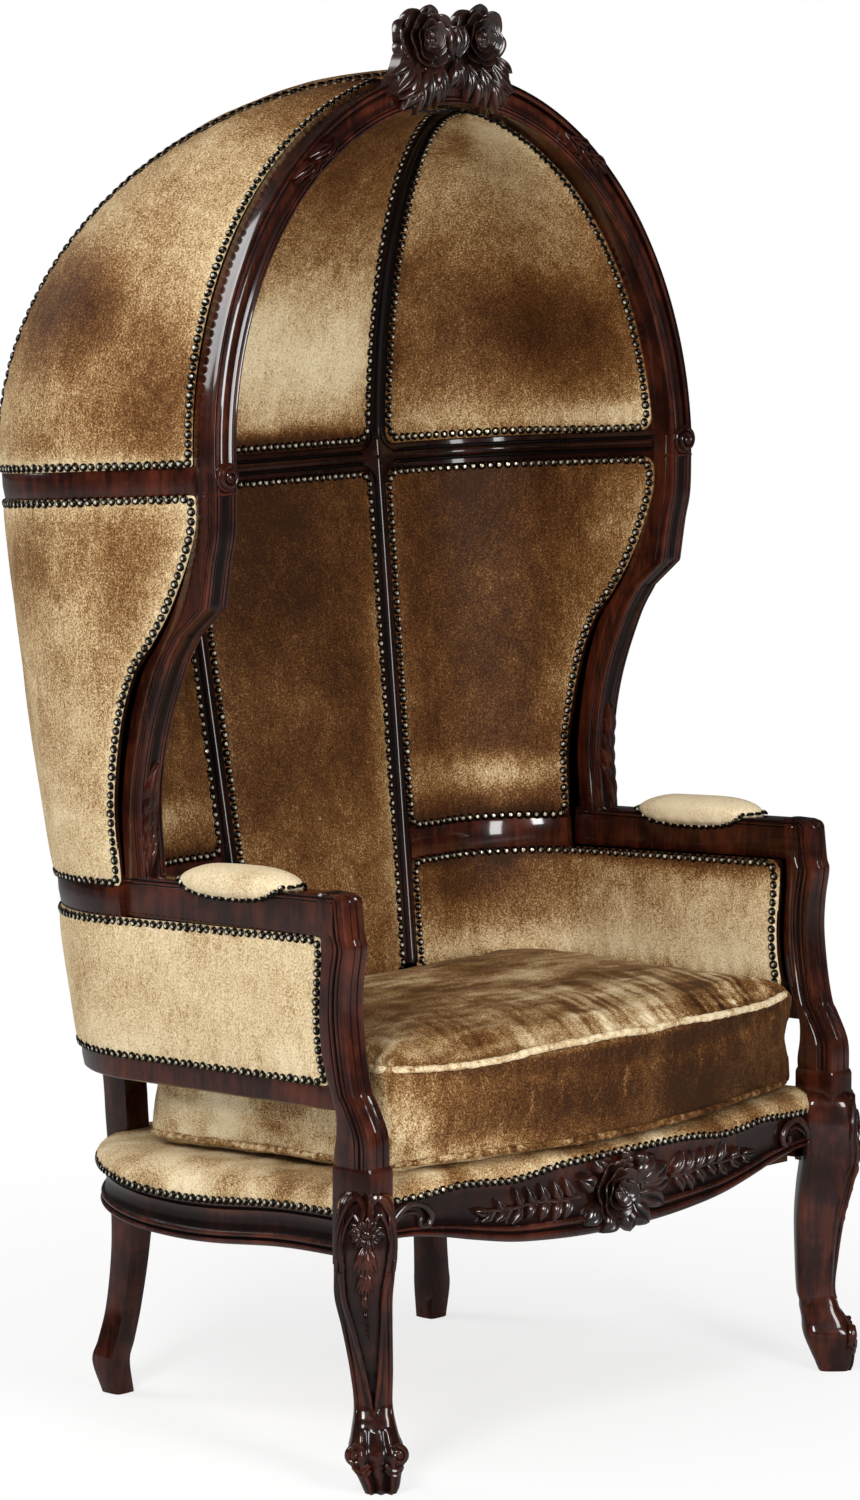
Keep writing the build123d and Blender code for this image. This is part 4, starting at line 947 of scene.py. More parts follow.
def bands_and_ribs():
    for kind, label, profile, cut, limit, material in (
            ("out", "outer", plain_band, split_x(STILE_X), .9, mahogany),
            ("in", "inner", bead_band, back_rib(.014), .7, rib_wood)):
        t_cut = crossing(kind, cut, .02, limit, w=-.009)
        t_front = crossing(kind, line_y(wing_rear, -.004), .45, 1.15, w=-.009)
        bounds, reach = (belt(-HALF_BELT), belt(HALF_BELT)), (-.12, .1)
        for side, sign in SIDES:
            band(f"belt_{label}_bar_{side}", kind, *bounds, t_cut, t_front, reach, profile,
                 f"belt_{label}_{side}", material, sign)
        band(f"belt_{label}_bar_back", kind, *bounds, -t_cut, t_cut, reach, profile,
             f"belt_{label}_back", material, count=120)
        # the band behind each arm rail
        t_rear = crossing(kind, cut, .02, limit, w=-.5)
        t_arm = crossing(kind, lambda p: p[..., 1] - ARM_END_Y, .4, 1.0, w=-.5) + .012
        for side, sign in SIDES:
            band(f"arm_band_{label}_bar_{side}", kind, arm_line(0), arm_line(ARM_BAND), t_rear, t_arm,
                 (-.6, -.3), plain_band, f"arm_band_{label}_{side}", mahogany, sign)
    t_rear = crossing("arm_out", split_x(.287), .02, .9, w=-.72)
    t_front = crossing("arm_out", line_y(post_rear, -.006), .5, 1.1, w=-.72)
    bounds, reach = (low_line(-LOW_BAND), low_line(0)), (-.9, -.5)
    for side, sign in SIDES:
        band(f"lower_rail_bar_{side}", "arm_out", *bounds, t_rear, t_front, reach, low_band,
             f"lower_side_rail_{side}", mahogany, sign)
    band("lower_rail_bar_back", "arm_out", *bounds, -t_rear, t_rear, reach, low_band,
         "lower_back_rail", mahogany, count=120)

    rib_bar("hood_rib_outer", "out", outer_rib, .015, (BELT_Z - TOP - .012) * .2,
            arch_meeting("out", outer_rib(0)), (.02, .999), plain_band, "outer_rib")
    rib_bar("hood_rib_inner", "in", dome_rib, .014, -.008, arch_meeting("in", dome_rib(0)),
            (.02, .999), bead_band, "dome_rib")
    rib_bar("back_rib_bar", "in", back_rib, .014, .494 - TOP, -.009, (.02, .7), bead_band, "back_rib")


def rib_stars():
    """Where the inner belt crosses the back ribs: webs in the corners, curved beads and a star."""
    t = crossing("in", back_rib(0), .02, .7, w=-.009)
    w = crossing("in", belt(0), -.12, .1, t=t)
    c, n = shell("in", t, w), shell_normal("in", t, w)
    up = unit(shell("in", t, w + .01) - shell("in", t, w - .01))
    side = unit(np.cross(up, n))
    parts = Parts()
    for reach, pinch, low, high in ((.036, .64, -.004, .0050), (.0085, .42, .004, .0088)):
        s = np.tile(np.linspace(0, 1, 9, endpoint=False), 4)
        r = reach * (1 - (1 - pinch) * np.sin(s * math.pi) ** .55)
        rim = c + turn((np.repeat(np.arange(4), 9) + s) * math.pi / 2, side, up) * r[:, None]
        parts.add(*bar([rim + n * low, rim + n * (high - .001), c + (rim - c) * .88 + n * high,
                        c + (rim - c) * .1 + n * (high + .0012)]))
    for k in range(4):
        mid = (k + .5) * math.pi / 2
        line = c + turn(mid, side, up) * .0480 + n * .0058 \
            - turn(mid + np.linspace(-.78, .78, 22), side, up) * .0262
        parts.add(*tube(line, .0013, 7))
    parts.pair("rib_star", rib_wood, sharp=40)


def seat_plan_line(count):
    """The outside of the seat rails in plan, from the front of the right side to the middle rear."""
    front, corner, r = (.426, -.287), (.200, .0365), .220
    dx, dy = corner[0] - front[0], corner[1] - front[1]
    run = math.hypot(dx, dy)
    bearing = math.atan2(dy, dx) - math.asin(r / run)
    reach = math.sqrt(run ** 2 - r ** 2)
    touch = front[0] + reach * math.cos(bearing), front[1] + reach * math.sin(bearing)
    start = math.atan2(touch[1] - corner[1], touch[0] - corner[0])
    arc = np.array(corner) + turn(np.linspace(start, math.pi / 2, 50), (1, 0), (0, 1)) * r
    return even(np.vstack([front, arc, (0, corner[1] + r)]), count)


def plan_normal(line):
    d = np.gradient(line, axis=0)
    n = unit(np.stack([d[:, 1], -d[:, 0]], -1))
    return n * np.sign((n * (line - np.array([0, -.02]))).sum(1))[:, None]


def rail_top(y):
    """The serpentine top of the side and rear seat rails."""
    s = np.clip((np.asarray(y, float) + .287) / .5435, 0, 1)
    heights = smooth_line([(0, .322), (.2, .3185), (.42, .306), (.58, .3035), (.8, .3105), (1, .318)], 41)
    return np.interp(s, np.linspace(0, 1, 41), heights[:, 1])


APRON_R = (.384 ** 2 + .031 ** 2) / (2 * .031)       # the bow of the apron in plan
APRON_TOP = smooth_line([(0, .343), (.07, .342), (.125, .340), (.185, .3335), (.23, .3355),
                         (.275, .3385), (.325, .3345), (.384, .331)], 120)
APRON_LOW = smooth_line([(0, .246), (.07, .2475), (.13, .251), (.19, .257), (.25, .268), (.30, .2785),
                         (.345, .285), (.384, .286)], 120)


def apron_top(x):
    return np.interp(np.abs(x), *APRON_TOP.T)


def apron_low(x):
    return np.interp(np.abs(x), *APRON_LOW.T)


def on_apron(x, z, lift=0.0):
    """A point on the bowed face of the apron, and the direction out of it."""
    x, z, lift = arrays(x, z, lift)
    depth = np.sqrt(1 - (x / APRON_R) ** 2)
    n = columns(x / APRON_R, -depth, 0)
    return columns(x, -.3435 + APRON_R - np.sqrt(APRON_R ** 2 - x ** 2), z) + n * lift[..., None], n


def seat_rails():
    # side and rear rails: a cove between two beads
    line = seat_plan_line(200)
    top = rail_top(line[:, 1])
    section = [(0, -.040), (0, -.004), (.03, -.0005), (.07, .0005), (.11, -.0006), (.135, -.0034),
               (.16, -.0034), (.19, -.0008), (.23, -.0004), (.27, -.0014), (.31, -.0046),
               (.42, -.0066), (.55, -.007), (.68, -.0052), (.76, -.0032), (.79, -.0048),
               (.82, -.0046), (.85, -.0012), (.90, .0006), (.95, .0002), (.985, -.0016), (1, -.005),
               (1, -.040)]
    lines = [columns(*line.T, top - .054), columns(*line.T, top), columns(*plan_normal(line).T, 0)]
    split = np.argmin(np.abs(line[:, 0] - .268) + (line[:, 1] < .1) * 9)
    Parts(moulding(*(v[:split + 1] for v in lines), section)).pair(
        "moulded_seat_rail", mahogany, "seat_rail", 30)
    rear = (np.vstack([v[split:], v[split:][::-1][1:] * MIRROR]) for v in lines)
    mesh_piece("moulded_seat_rail_back", moulding(*rear, section), mahogany, "seat_rail_back", 30)
    # bowed front rail with a double bead along its lower edge
    x = np.linspace(-.392, .392, 240)
    low, n = on_apron(x, apron_low(x))
    section = [(0, -.036), (0, -.0035), (.02, -.0006), (.05, .0012), (.085, .0012), (.115, -.0006),
               (.13, -.0026), (.15, -.0026), (.165, -.0006), (.19, .0008), (.215, .0008),
               (.24, -.0008), (.265, -.0034), (.32, -.0044), (.5, -.0046), (.8, -.0032),
               (.93, -.0014), (.98, -.0006), (1, -.003), (1, -.036)]
    mesh_piece("moulded_front_rail", moulding(low, on_apron(x, apron_top(x))[0], n, section), mahogany,
               "seat_rail_front", 30)


def apron_carving():
    parts, face = Parts(), -.0035

    def lay(x0, z0, x1, z1, width, thick, bend, lift=.001, arch=.002, **more):
        start, n = on_apron(x0, z0, face + lift)
        parts.add(*leaf(start, on_apron(x1, z1, face + lift)[0], n, width, thick, bend, arch, **more))

    def stem(points, count, lift, radii, sides):
        line = smooth_line(points, count)
        parts.add(*tube(on_apron(*line.T, np.full(count, face + lift))[0], radii, sides))

    # rose, leaf lobes on its right and leaves that frame it
    c, n = on_apron(-.016, .292, face)
    rose(parts, c, unit(np.cross(UP, n)), UP, n, .0395, .0165, 1.1)
    for x0, z0, x1, z1, width, bend in (
            (.022, .300, .054, .332, .030, .004), (.024, .296, .080, .318, .026, .003),
            (.026, .290, .086, .294, .026, -.003), (.020, .283, .074, .262, .026, -.004),
            (.012, .276, .044, .243, .026, .004), (.000, .270, .006, .238, .026, 0),
            (-.024, .268, -.046, .244, .022, -.003), (-.052, .282, -.079, .258, .020, -.004),
            (-.060, .300, -.086, .318, .020, .004), (-.044, .322, -.060, .339, .018, 0),
            (-.010, .330, .004, .342, .018, 0), (.020, .320, .030, .341, .018, 0)):
        lay(x0, z0, x0 + (x1 - x0) * .9, z0 + (z1 - z0) * .9, width * 1.15, .0095, bend, .002,
            groove=.45, arch=.004)
    # sprays: a stem with pairs of leaves, then a twig with curled ends
    for s in (-1, 1):
        stem([(s * .082, .297), (s * .115, .296), (s * .15, .300), (s * .185, .2985), (s * .215, .299),
              (s * .243, .301)], 40, .0028, np.linspace(.0030, .0019, 40), 8)
        for x, z, dx, rise, drop, width in (
                (.092, .297, .016, .026, .024, .014), (.112, .296, .014, .025, .024, .0135),
                (.134, .298, .014, .023, .021, .013), (.156, .300, .014, .020, .018, .011)):
            lay(s * x, z, s * (x + dx), z + rise, width, .0062, s * .002)
            lay(s * x, z, s * (x + dx), z - drop, width, .0062, -s * .002)
        for x0, z0, x1, z1, width in (
                (.176, .2985, .190, .322, .010), (.178, .2985, .196, .280, .010),
                (.204, .299, .222, .286, .010), (.206, .299, .218, .312, .009),
                (.232, .3005, .254, .3035, .011), (.228, .300, .244, .289, .009)):
            lay(s * x0, z0, s * x1, z1, width, .0058, s * .002, curl=.002)
        # scroll that runs from the knee over the end of the apron
        stem([(s * .388, .290), (s * .372, .312), (s * .352, .3245), (s * .331, .321),
              (s * .319, .308), (s * .324, .2965), (s * .336, .2985), (s * .334, .307)], 50, .004,
             np.concatenate([np.linspace(.0052, .0046, 34), np.linspace(.0045, .0026, 16)]), 9)
        stem([(s * .392, .278), (s * .378, .300), (s * .356, .313), (s * .338, .3125)], 30, .001,
             np.linspace(.0034, .002, 30), 8)
    mesh_piece("rose_and_sprays", parts.shape(), carved_wood, "apron_carving", 50)


LEG = smooth_line([(0, 0, -.17, .80), (.03, 0, -.16, .92), (.07, 0, -.1, 1.08), (.12, 0, -.03, 1.26),
                   (.155, -.02, 0, 1.30), (.2, -.08, .1, 1.12), (.3, -.22, .28, .92),
                   (.45, -.18, .32, 1.02), (.6, -.06, .34, 1.18), (.72, .10, .30, 1.34),
                   (.84, .17, .18, 1.44), (.96, .12, .20, 1.44), (1.09, .06, .24, 1.26)], 260)
LEG_OUT, LEG_SIDE = unit([1, -1, 0]), unit([1, 1, 0])


def leg_at(z):
    """Centre and half width of the right front leg at a height."""
    x, y, size = (np.interp(np.asarray(z, float) / .322, LEG[:, 0], LEG[:, i]) for i in (1, 2, 3))
    return columns(.413 + x * .049, -.322 + y * .049, z), size * .049 / 2


def on_knee(a, z, lift=0.0):
    """A point on the outward face of the right front leg. a is a share of its half width."""
    a, z, lift = arrays(a, z, lift)
    centre, half = leg_at(z)
    b = (1 - np.abs(a) ** 4) ** .25
    return centre + LEG_SIDE * (half * a)[..., None] + LEG_OUT * (half * b + lift)[..., None]


def leg_rings():
    """Level sections of the right front leg, from the toe to the closed top of the knee."""
    a, b = (np.sign(f) * np.abs(f) ** .5 for f in (np.cos(around(128)), np.sin(around(128))))
    for z in np.concatenate([np.linspace(0, .012, 5), np.linspace(.014, .12, 60),
                             np.linspace(.122, .336, 96), np.linspace(.3375, .352, 12)]):
        centre, half = leg_at(z)
        close = 1.0
        if z > .336:
            close = math.sqrt(max(1 - ((z - .336) / .0165) ** 2, .02)) * .5 + .5
        if z < .006:
            close = .96 + .04 * z / .006
        # a hollow field on the knee, a bead beside it and one along each edge
        field = np.interp(z, (.06, .085, .12, .2, .30, .36), (.02, .05, .32, .62, .8, .8))
        fade = np.clip((z - .07) / .03, 0, 1)
        lift = np.clip(b * 4, 0, 1) * fade * (.0028 * np.exp(-((np.abs(a) - field) / .085) ** 2)
                                              - .0032 * np.clip((field - .06 - np.abs(a)) / .03, 0, 1))
        lift += .0018 * np.exp(-((np.abs(a) - .955) / .05) ** 2) * (b > .3) * fade
        lift -= .0014 * np.exp(-((np.abs(a) - .84) / .04) ** 2) * (b > .2) * fade * (field < .75)
        # grooves and ribs on the toe, and the ankle's bead
        toe = np.clip(1 - z / .075, 0, 1) ** .3 * np.clip(b * 3, 0, 1)
        lift += toe * (.0036 * np.cos(np.clip(a, -.62, .62) / .31 * math.pi) - .0006) * (np.abs(a) < .7)
        lift += .0016 * np.exp(-((z - .086) / .006) ** 2)
        yield centre + LEG_SIDE * (half * a * close)[:, None] + LEG_OUT * (half * b * close + lift)[:, None]


def front_legs():
    parts = Parts(bar(list(leg_rings())))
    # the square block that carries the arm post
    z, ease = np.array([.262, .32, .3740, .3770, .3795]), np.array([0, 0, 0, .0005, .0016])
    low = columns(.3978 + ease, -.3372 + ease, z)
    parts.add(*prism(low, low + columns(.0400 - 2 * ease, 0, 0), low + columns(0, .0610 - 2 * ease, 0),
                     ring()))

    def mark(points, radius, lift=.0):
        """A bead over the face of the knee, through points of share and height."""
        line = smooth_line(points, 46)
        parts.add(*tube(on_knee(*line.T, np.full(46, lift)), radius, 8))

    taper = np.concatenate([np.linspace(.0024, .0042, 20), np.linspace(.0042, .0026, 26)])
    for s in (-1, 1):
        # C-scrolls that meet in a heart at the top of the knee
        mark([(s * .93, .262), (s * .95, .29), (s * .86, .322), (s * .6, .343), (s * .32, .3465),
              (s * .13, .336), (s * .16, .323), (s * .30, .322)], taper[::-1] * 1.15, .001)
        mark([(s * .78, .262), (s * .80, .288), (s * .70, .313), (s * .48, .328), (s * .30, .322)],
             .0022, .0005)
        # edge beads that run down to the ankle
        mark([(s * .90, .275), (s * .95, .24), (s * .93, .19), (s * .90, .13), (s * .86, .095)],
             .0026, .0004)
        mark([(s * .80, .262), (s * .64, .21), (s * .42, .15), (s * .16, .105), (s * .03, .088)],
             np.linspace(.0034, .0020, 46), .0016)
        # volutes of the foot
        centre, half = leg_at(.047)
        scroll(parts, centre + LEG_SIDE * s * half * .74 + LEG_OUT * half * .83, LEG_SIDE, UP,
               unit(LEG_OUT + LEG_SIDE * s * .35), .0138, 1.5, .0034, -s)
        for z0, radius in ((.031, .0028), (.025, .0024)):
            mark([(s * .30, z0 + .006), (s * .55, z0 - .001), (s * .8, z0 - .001), (s * .97, z0 + .006)],
                 radius, .001)
    # daisy with rays round a ball
    c = on_knee(0, .307)
    for k in range(12):
        d = turn(k * 2 * math.pi / 12 + .1, LEG_SIDE, UP)
        parts.add(*leaf(c + d * .005 + LEG_OUT * .001, c + d * .0205 + LEG_OUT * .001, LEG_OUT, .0098,
                        .0036, groove=.35))
    parts.add(*button(c, LEG_SIDE, UP, LEG_OUT, 16, (.0068, -.001), (.0072, .0025), (.0060, .0066),
                      (.0034, .0088), (.0008, .0094)))
    # husks that hang below it
    for z0, length, width in ((.292, .040, .038), (.262, .032, .029), (.236, .026, .018),
                              (.214, .021, .012), (.197, .017, .008)):
        for dx in (-1.6, -.8, 0, .8, 1.6) if width > .02 else (-1, 0, 1):
            tip = on_knee(dx * width * 6.5, z0 - length * (1 - .16 * abs(dx)))
            parts.add(*leaf(on_knee(dx * .03, z0, -.0005), tip, LEG_OUT, width * .42, .0048,
                            bend=dx * .0015, arch=.0020, groove=.4, curl=.0016))
    parts.pair("cabriole_leg", mahogany, "front_leg", 40)


def rear_legs():
    path = smooth_line([
        (.2835, .2390, 0, .030), (.2905, .2440, .040, .0355), (.2850, .2400, .066, .0345),
        (.2770, .2345, .11, .0335), (.2700, .2296, .18, .0360), (.268, .2285, .25, .0400),
        (.2745, .2287, .34, .040), (.287, .229, .45, .040), (.330, .2517, .79, .040),
        (.374, .275, 1.13, .040)], 190)
    v, h = path[:, :3], path[:, 3:4] / 2
    keep = v[:, 2] <= BELT_Z - HALF_BELT - BELT_SLOPE * (v[:, 1] - BELT_Y)
    v, h = v[keep], h[keep]
    side = [(.5, 0, -.0006)]
    Parts(prism(v - h * (1, 1, 0), v + h * (1, -1, 0), v + h * (-1, 1, 0),
                ring(side, side, side, side, .0045))).pair("rear_leg_bar", mahogany, "rear_leg", 35)


def crest():
    front, right = ARCH_Y + ARCH_LEAN - .002, np.array([1.0, 0, 0])
    slope = math.tan(ARCH_TILT)

    def at(x, z, lift=0.0):
        return np.array([x, front + (z - ARCH_TOP) * slope, z]) + ARCH_OUT * lift
    # solid ground behind the carving
    half = [(.030, 1.662), (.060, 1.652), (.080, 1.640), (.090, 1.622), (.102, 1.606), (.112, 1.596)]
    edge = smooth_line([(-x, z) for x, z in half[::-1]] + [(0, 1.660)] + half, 100)
    low = columns(np.linspace(-.108, .108, 100), 1.590)
    x, z = np.moveaxis(np.stack([low + (edge - low) * share for share in (0, .25, .5, .75, 1)]), -1, 0)
    y = front + (z - ARCH_TOP) * slope
    parts = Parts(sheet_shell(columns(x, y - np.array([-.002, .002, .004, .004, 0])[:, None], z),
                              columns(x, y + .026 - np.array([0, 0, .003, .006, .009])[:, None], z)))
    for s, twist in ((-1, .3), (1, 2.2)):
        parts.add(*petal_ring(at(s * .0455, 1.6555, -.016), right, ARCH_UP, ARCH_OUT, .010, .0385, .012,
                              .017, 7, twist + .65, .016))
        rose(parts, at(s * .0455, 1.6560), right, ARCH_UP, ARCH_OUT, .0430, .020, twist)

    def spray(x, z, angles, length, width, lift):
        """Narrow leaves that fan out below a point; angles run from straight down to outward."""
        for k, degrees in enumerate(angles):
            a, reach = math.radians(degrees), length * (1 - .12 * (k % 2))
            tip = at(x + math.sin(a) * reach, z - math.cos(a) * reach, lift * .35)
            parts.add(*leaf(at(x, z, lift), tip, ARCH_OUT, width, .0075, bend=.004 * math.sin(a),
                            arch=.0055, curl=.002))

    # a bud and small leaves between the roses, then fans of leaves that droop over the arch
    parts.add(*leaf(at(0, 1.636, .010), at(0, 1.672, .012), ARCH_OUT, .014, .008, arch=.004))
    spray(0, 1.630, (-24, 0, 24), .036, .0125, .011)
    for s in (-1, 1):
        parts.add(*leaf(at(s * .005, 1.634, .008), at(s * .012, 1.672, .012), ARCH_OUT, .011, .008,
                        bend=s * .004, arch=.003))
        for x, z, angles, length, width, lift in (
                (.024, 1.626, (-4, 28), .044, .0130, .006), (.046, 1.622, (6, 34), .050, .0130, .008),
                (.064, 1.628, (26, 48), .060, .0135, .007), (.074, 1.636, (34, 56), .042, .0130, .004),
                (.036, 1.612, (-2, 24), .036, .0120, .009), (.062, 1.608, (12, 34, 58), .042, .0120, .009)):
            spray(s * x, z, [s * v for v in angles], length, width, lift)
    mesh_piece("crest_of_roses", parts.shape(), carved_wood, "crest", 50)


posts_and_arch()
bands_and_ribs()
rib_stars()
seat_rails()
apron_carving()
front_legs()
rear_legs()
crest()

# Stuffed and padded seat

DECK_POINTS = 260
DECK_SLOPE = .044          # the seat falls this much per metre towards the rear


def deck_loop():
    """The nailed edge of the deck: points in plan, outward directions and the height of the edge."""
    x = np.linspace(-.388, .388, DECK_POINTS)
    p, n = on_apron(x, 0 * x)
    side = seat_plan_line(DECK_POINTS)
    side_n = plan_normal(side)
    loop = np.vstack([p[:, :2] + (0, .002), side[4:], (side * (-1, 1))[::-1][1:-4]])
    normal = np.vstack([n[:, :2], side_n[4:], (side_n * (-1, 1))[::-1][1:-4]])
    edge = np.concatenate([apron_top(x), rail_top(side[4:, 1]), rail_top(side[::-1][1:-4, 1])])
    return loop, normal, edge


def seat_deck():
    loop, normal, edge = deck_loop()
    top = .348 - DECK_SLOPE * (loop[:, 1] + .1185)
    run = np.r_[0, np.cumsum(np.linalg.norm(np.diff(loop, axis=0), axis=1))]
    wave = .0016 * np.cos(run / PULL_PITCH * 2 * math.pi)
    rows = []
    for v in np.linspace(0, 1, 15):
        pull = wave * np.exp(-v * 5) * min(v * 8, 1)
        swell = .0016 + .0075 * math.sin(math.pi * min(v * 1.15, 1)) * (1 - v * .6) + pull
        inward = .034 * (1 - math.cos(v * math.pi / 2))
        z = edge - .0045 + (top - edge + .0045) * math.sin(v * math.pi / 2)
        rows.append(columns(*(loop + normal * (swell - inward)[:, None]).T, z))

    def shrunk(row, share, z=None):
        """The row drawn in towards the middle of the deck."""
        middle = np.array([0, -.05])
        xy = middle + (row[:, :2] - middle) * share
        return columns(*xy.T, .3485 - DECK_SLOPE * (xy[:, 1] + .1185) if z is None else z)
    under = [shrunk(rows[0], share, z) for share, z in ((.5, .3012), (.9, .3015), (.985, edge - .006))]
    grid = np.stack(under + rows + [shrunk(rows[-1], share) for share in (.93, .82, .66, .45, .2)])
    grid[3:] += (noise3(grid[3:], 16, 5) * .0012)[..., None] * UP
    n, m = grid.shape[:2]
    v = np.vstack([grid.reshape(-1, 3), [[0, -.05, .3012], [0, -.05, .3455]]])
    faces = grid_faces(n, m, close_m=True)
    faces += [[j, (j + 1) % m, n * m] for j in range(m)]
    faces += [[(n - 1) * m + (j + 1) % m, (n - 1) * m + j, n * m + 1] for j in range(m)]
    # the deck's painted sheen, a little lighter along its left side
    nap = .53 + .24 * noise3(v, 9, 31) + .2 * noise3(v, 34, 32) + .1 * (v[:, 0] < -.3)
    mesh_piece("velvet_seat_deck", (v, faces), velvet, "seat_deck", nap=nap)
    # nails along the front, the two sides and the back
    out = unit(columns(*normal.T, .22))
    line = columns(*(loop + normal * .0034).T, edge - .0008)
    front = np.arange(len(loop)) < DECK_POINTS
    x, y = loop.T
    side = ~front & (y > -.285) & (np.abs(x) > .291)
    for pick in (front & (np.abs(x) < .372), side & (x > 0), side & (x < 0),
                 ~front & (np.abs(x) < .246) & (y > 0)):
        add_nails(line[pick], out[pick])


def on_pad(s, k):
    """A point of the arm rail under its pad and the direction out of it. s runs along the pad and
    k from -1 to 1 across it; the edge turns down over the sides of the rail."""
    half = .0192
    q = .0335 * np.clip(1 - np.abs(2 * s - 1) ** 2.6, 0, 1) ** (1 / 2.3) * k
    y = -.202 + .190 * s + 0 * k
    lean = np.clip((np.abs(q) - half + .009) / .016, 0, 1) * math.pi / 2
    return columns(.418 - .012 * (y + .271) / .353 + np.clip(q, -half, half), y,
                   arm_top(y) - np.clip(np.abs(q) - half, 0, None)), \
        columns(np.sign(q) * np.sin(lean), 0, np.cos(lean))


def arm_pads():
    s, k = np.linspace(.004, .996, 72)[:, None], np.linspace(-1, 1, 44)[None, :]
    base, n = on_pad(s, k)
    puff = np.clip(1 - np.abs(k) ** 2.4, 0, 1) ** .75 * np.clip(1 - np.abs(2 * s - 1) ** 3, 0, 1) ** .6
    pull = .0010 * np.cos(s * .19 / PULL_PITCH * 2 * math.pi) * np.clip(np.abs(k) * 3 - 2, 0, 1) \
        * (np.abs(k) < .97)
    lift = .0016 + .0215 * puff + pull + .0008 * noise3(base, 40, 3) * puff
    verts, faces = sheet_shell(base + n * lift[..., None], base - n * .0004)
    # painted sheen over the pad: bright, with a darker patch
    dim_patch = .2 * np.exp(-(((s - .30) / .09) ** 2 + ((k - .55) / .3) ** 2))
    nap = np.tile((.96 + .1 * noise3(base, 14, 6) - dim_patch).ravel(), 2)
    k0, s0, s1 = .965, .01, .99
    ring_k = np.concatenate([np.full(90, k0), np.linspace(k0, -k0, 30), np.full(90, -k0),
                             np.linspace(-k0, k0, 30)])
    ring_s = np.concatenate([np.linspace(s0, s1, 90), np.full(30, s1), np.linspace(s1, s0, 90),
                             np.full(30, s0)])
    line, out = on_pad(ring_s, ring_k)
    line, out = distinct(line + out * .0030, out)
    for side, sign in SIDES:
        flip = (sign, 1, 1)
        mesh_piece(f"velvet_arm_pad_{side}", (verts * flip, faces), velvet, f"arm_pad_{side}", nap=nap)
        add_nails(line * flip, out * flip)


def cushion_sheen(p, n):
    """The painted sheen and painted shade of the cushion, by where a point is and which way it faces."""
    front, side, up = (np.clip(v, 0, 1) ** 1.5 for v in (-n[:, 1], np.abs(n[:, 0]), n[:, 2]))
    x, y, z = p.T
    near = np.clip((-y - .12) / .22, 0, 1)
    streak = noise3(columns(x - y * .35, y * .10, 0), 130, 57) * near ** .7 \
        + noise3(columns(x - y * .35, y * .16, 0), 48, 58) * near * .7
    top_tone = .48 + .24 * noise3(p * (1, 2.2, 1), 7, 51) + .20 * noise3(p * (1, 3.0, 1), 30, 52) \
        + .58 * streak * (.6 + np.clip(x * 2, -.3, .4)) + .2 * near ** 3
    low = np.exp(-((z - .355) / .022) ** 2)
    crease = noise3(p * (1, 1, .12), 60, 68) * np.exp(-((x + .36) / .06) ** 2)
    front_tone = .03 + .52 * np.exp(-((x + .41) / .10) ** 2) + .20 * np.exp(-((x + .22) / .15) ** 2) \
        + .34 * low * np.clip(.5 - x * 2, .1, 1) + .15 * noise3(p, 18, 53) + .45 * crease
    side_tone = .74 + .24 * noise3(p, 12, 54) + .16 * noise3(p, 40, 55)
    return (top_tone * up + front_tone * front + side_tone * side) / (up + front + side + 1e-4)


def remesh(source, voxel):
    """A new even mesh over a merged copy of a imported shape."""
    mesh = source.data.copy()
    rework(mesh, merge(1e-5))
    work = add_object("work", mesh)
    modifier = work.modifiers.new("even", "REMESH")
    modifier.mode, modifier.voxel_size = "VOXEL", voxel
    made = bpy.data.meshes.new_from_object(evaluated(work))
    bpy.data.objects.remove(work)
    return made


def inflated(mesh, pressure, cap, frames=20):
    """The points of a mesh filled like a stuffed cover by a cloth simulation, each moved by a cap
    at most."""
    before = vertex_values(mesh, "co").astype(float)
    obj = add_object("cover", mesh)
    cloth = obj.modifiers.new("cover", "CLOTH")
    for key, value in dict(quality=6, mass=.3, tension_stiffness=12, compression_stiffness=12,
                           shear_stiffness=4, bending_stiffness=.6, use_pressure=True,
                           uniform_pressure_force=pressure).items():
        setattr(cloth.settings, key, value)
    cloth.settings.effector_weights.gravity = 0
    cloth.point_cache.frame_start, cloth.point_cache.frame_end = 1, frames
    for f in range(1, frames + 1):
        bpy.context.scene.frame_set(f)
    after = obj.evaluated_get(bpy.context.evaluated_depsgraph_get()).to_mesh()
    move = vertex_values(after, "co").astype(float) - before
    size = np.linalg.norm(move, axis=1, keepdims=True)
    move *= cap * np.tanh(size / cap) / np.maximum(size, 1e-9)
    bpy.context.scene.frame_set(1)
    bpy.data.objects.remove(obj)
    return before + move


def move_to(mesh, points):
    mesh.vertices.foreach_set("co", points.astype(np.float32).ravel())
    mesh.update()


CUSHION_MIDDLE = np.array([0, -.1075, 0])


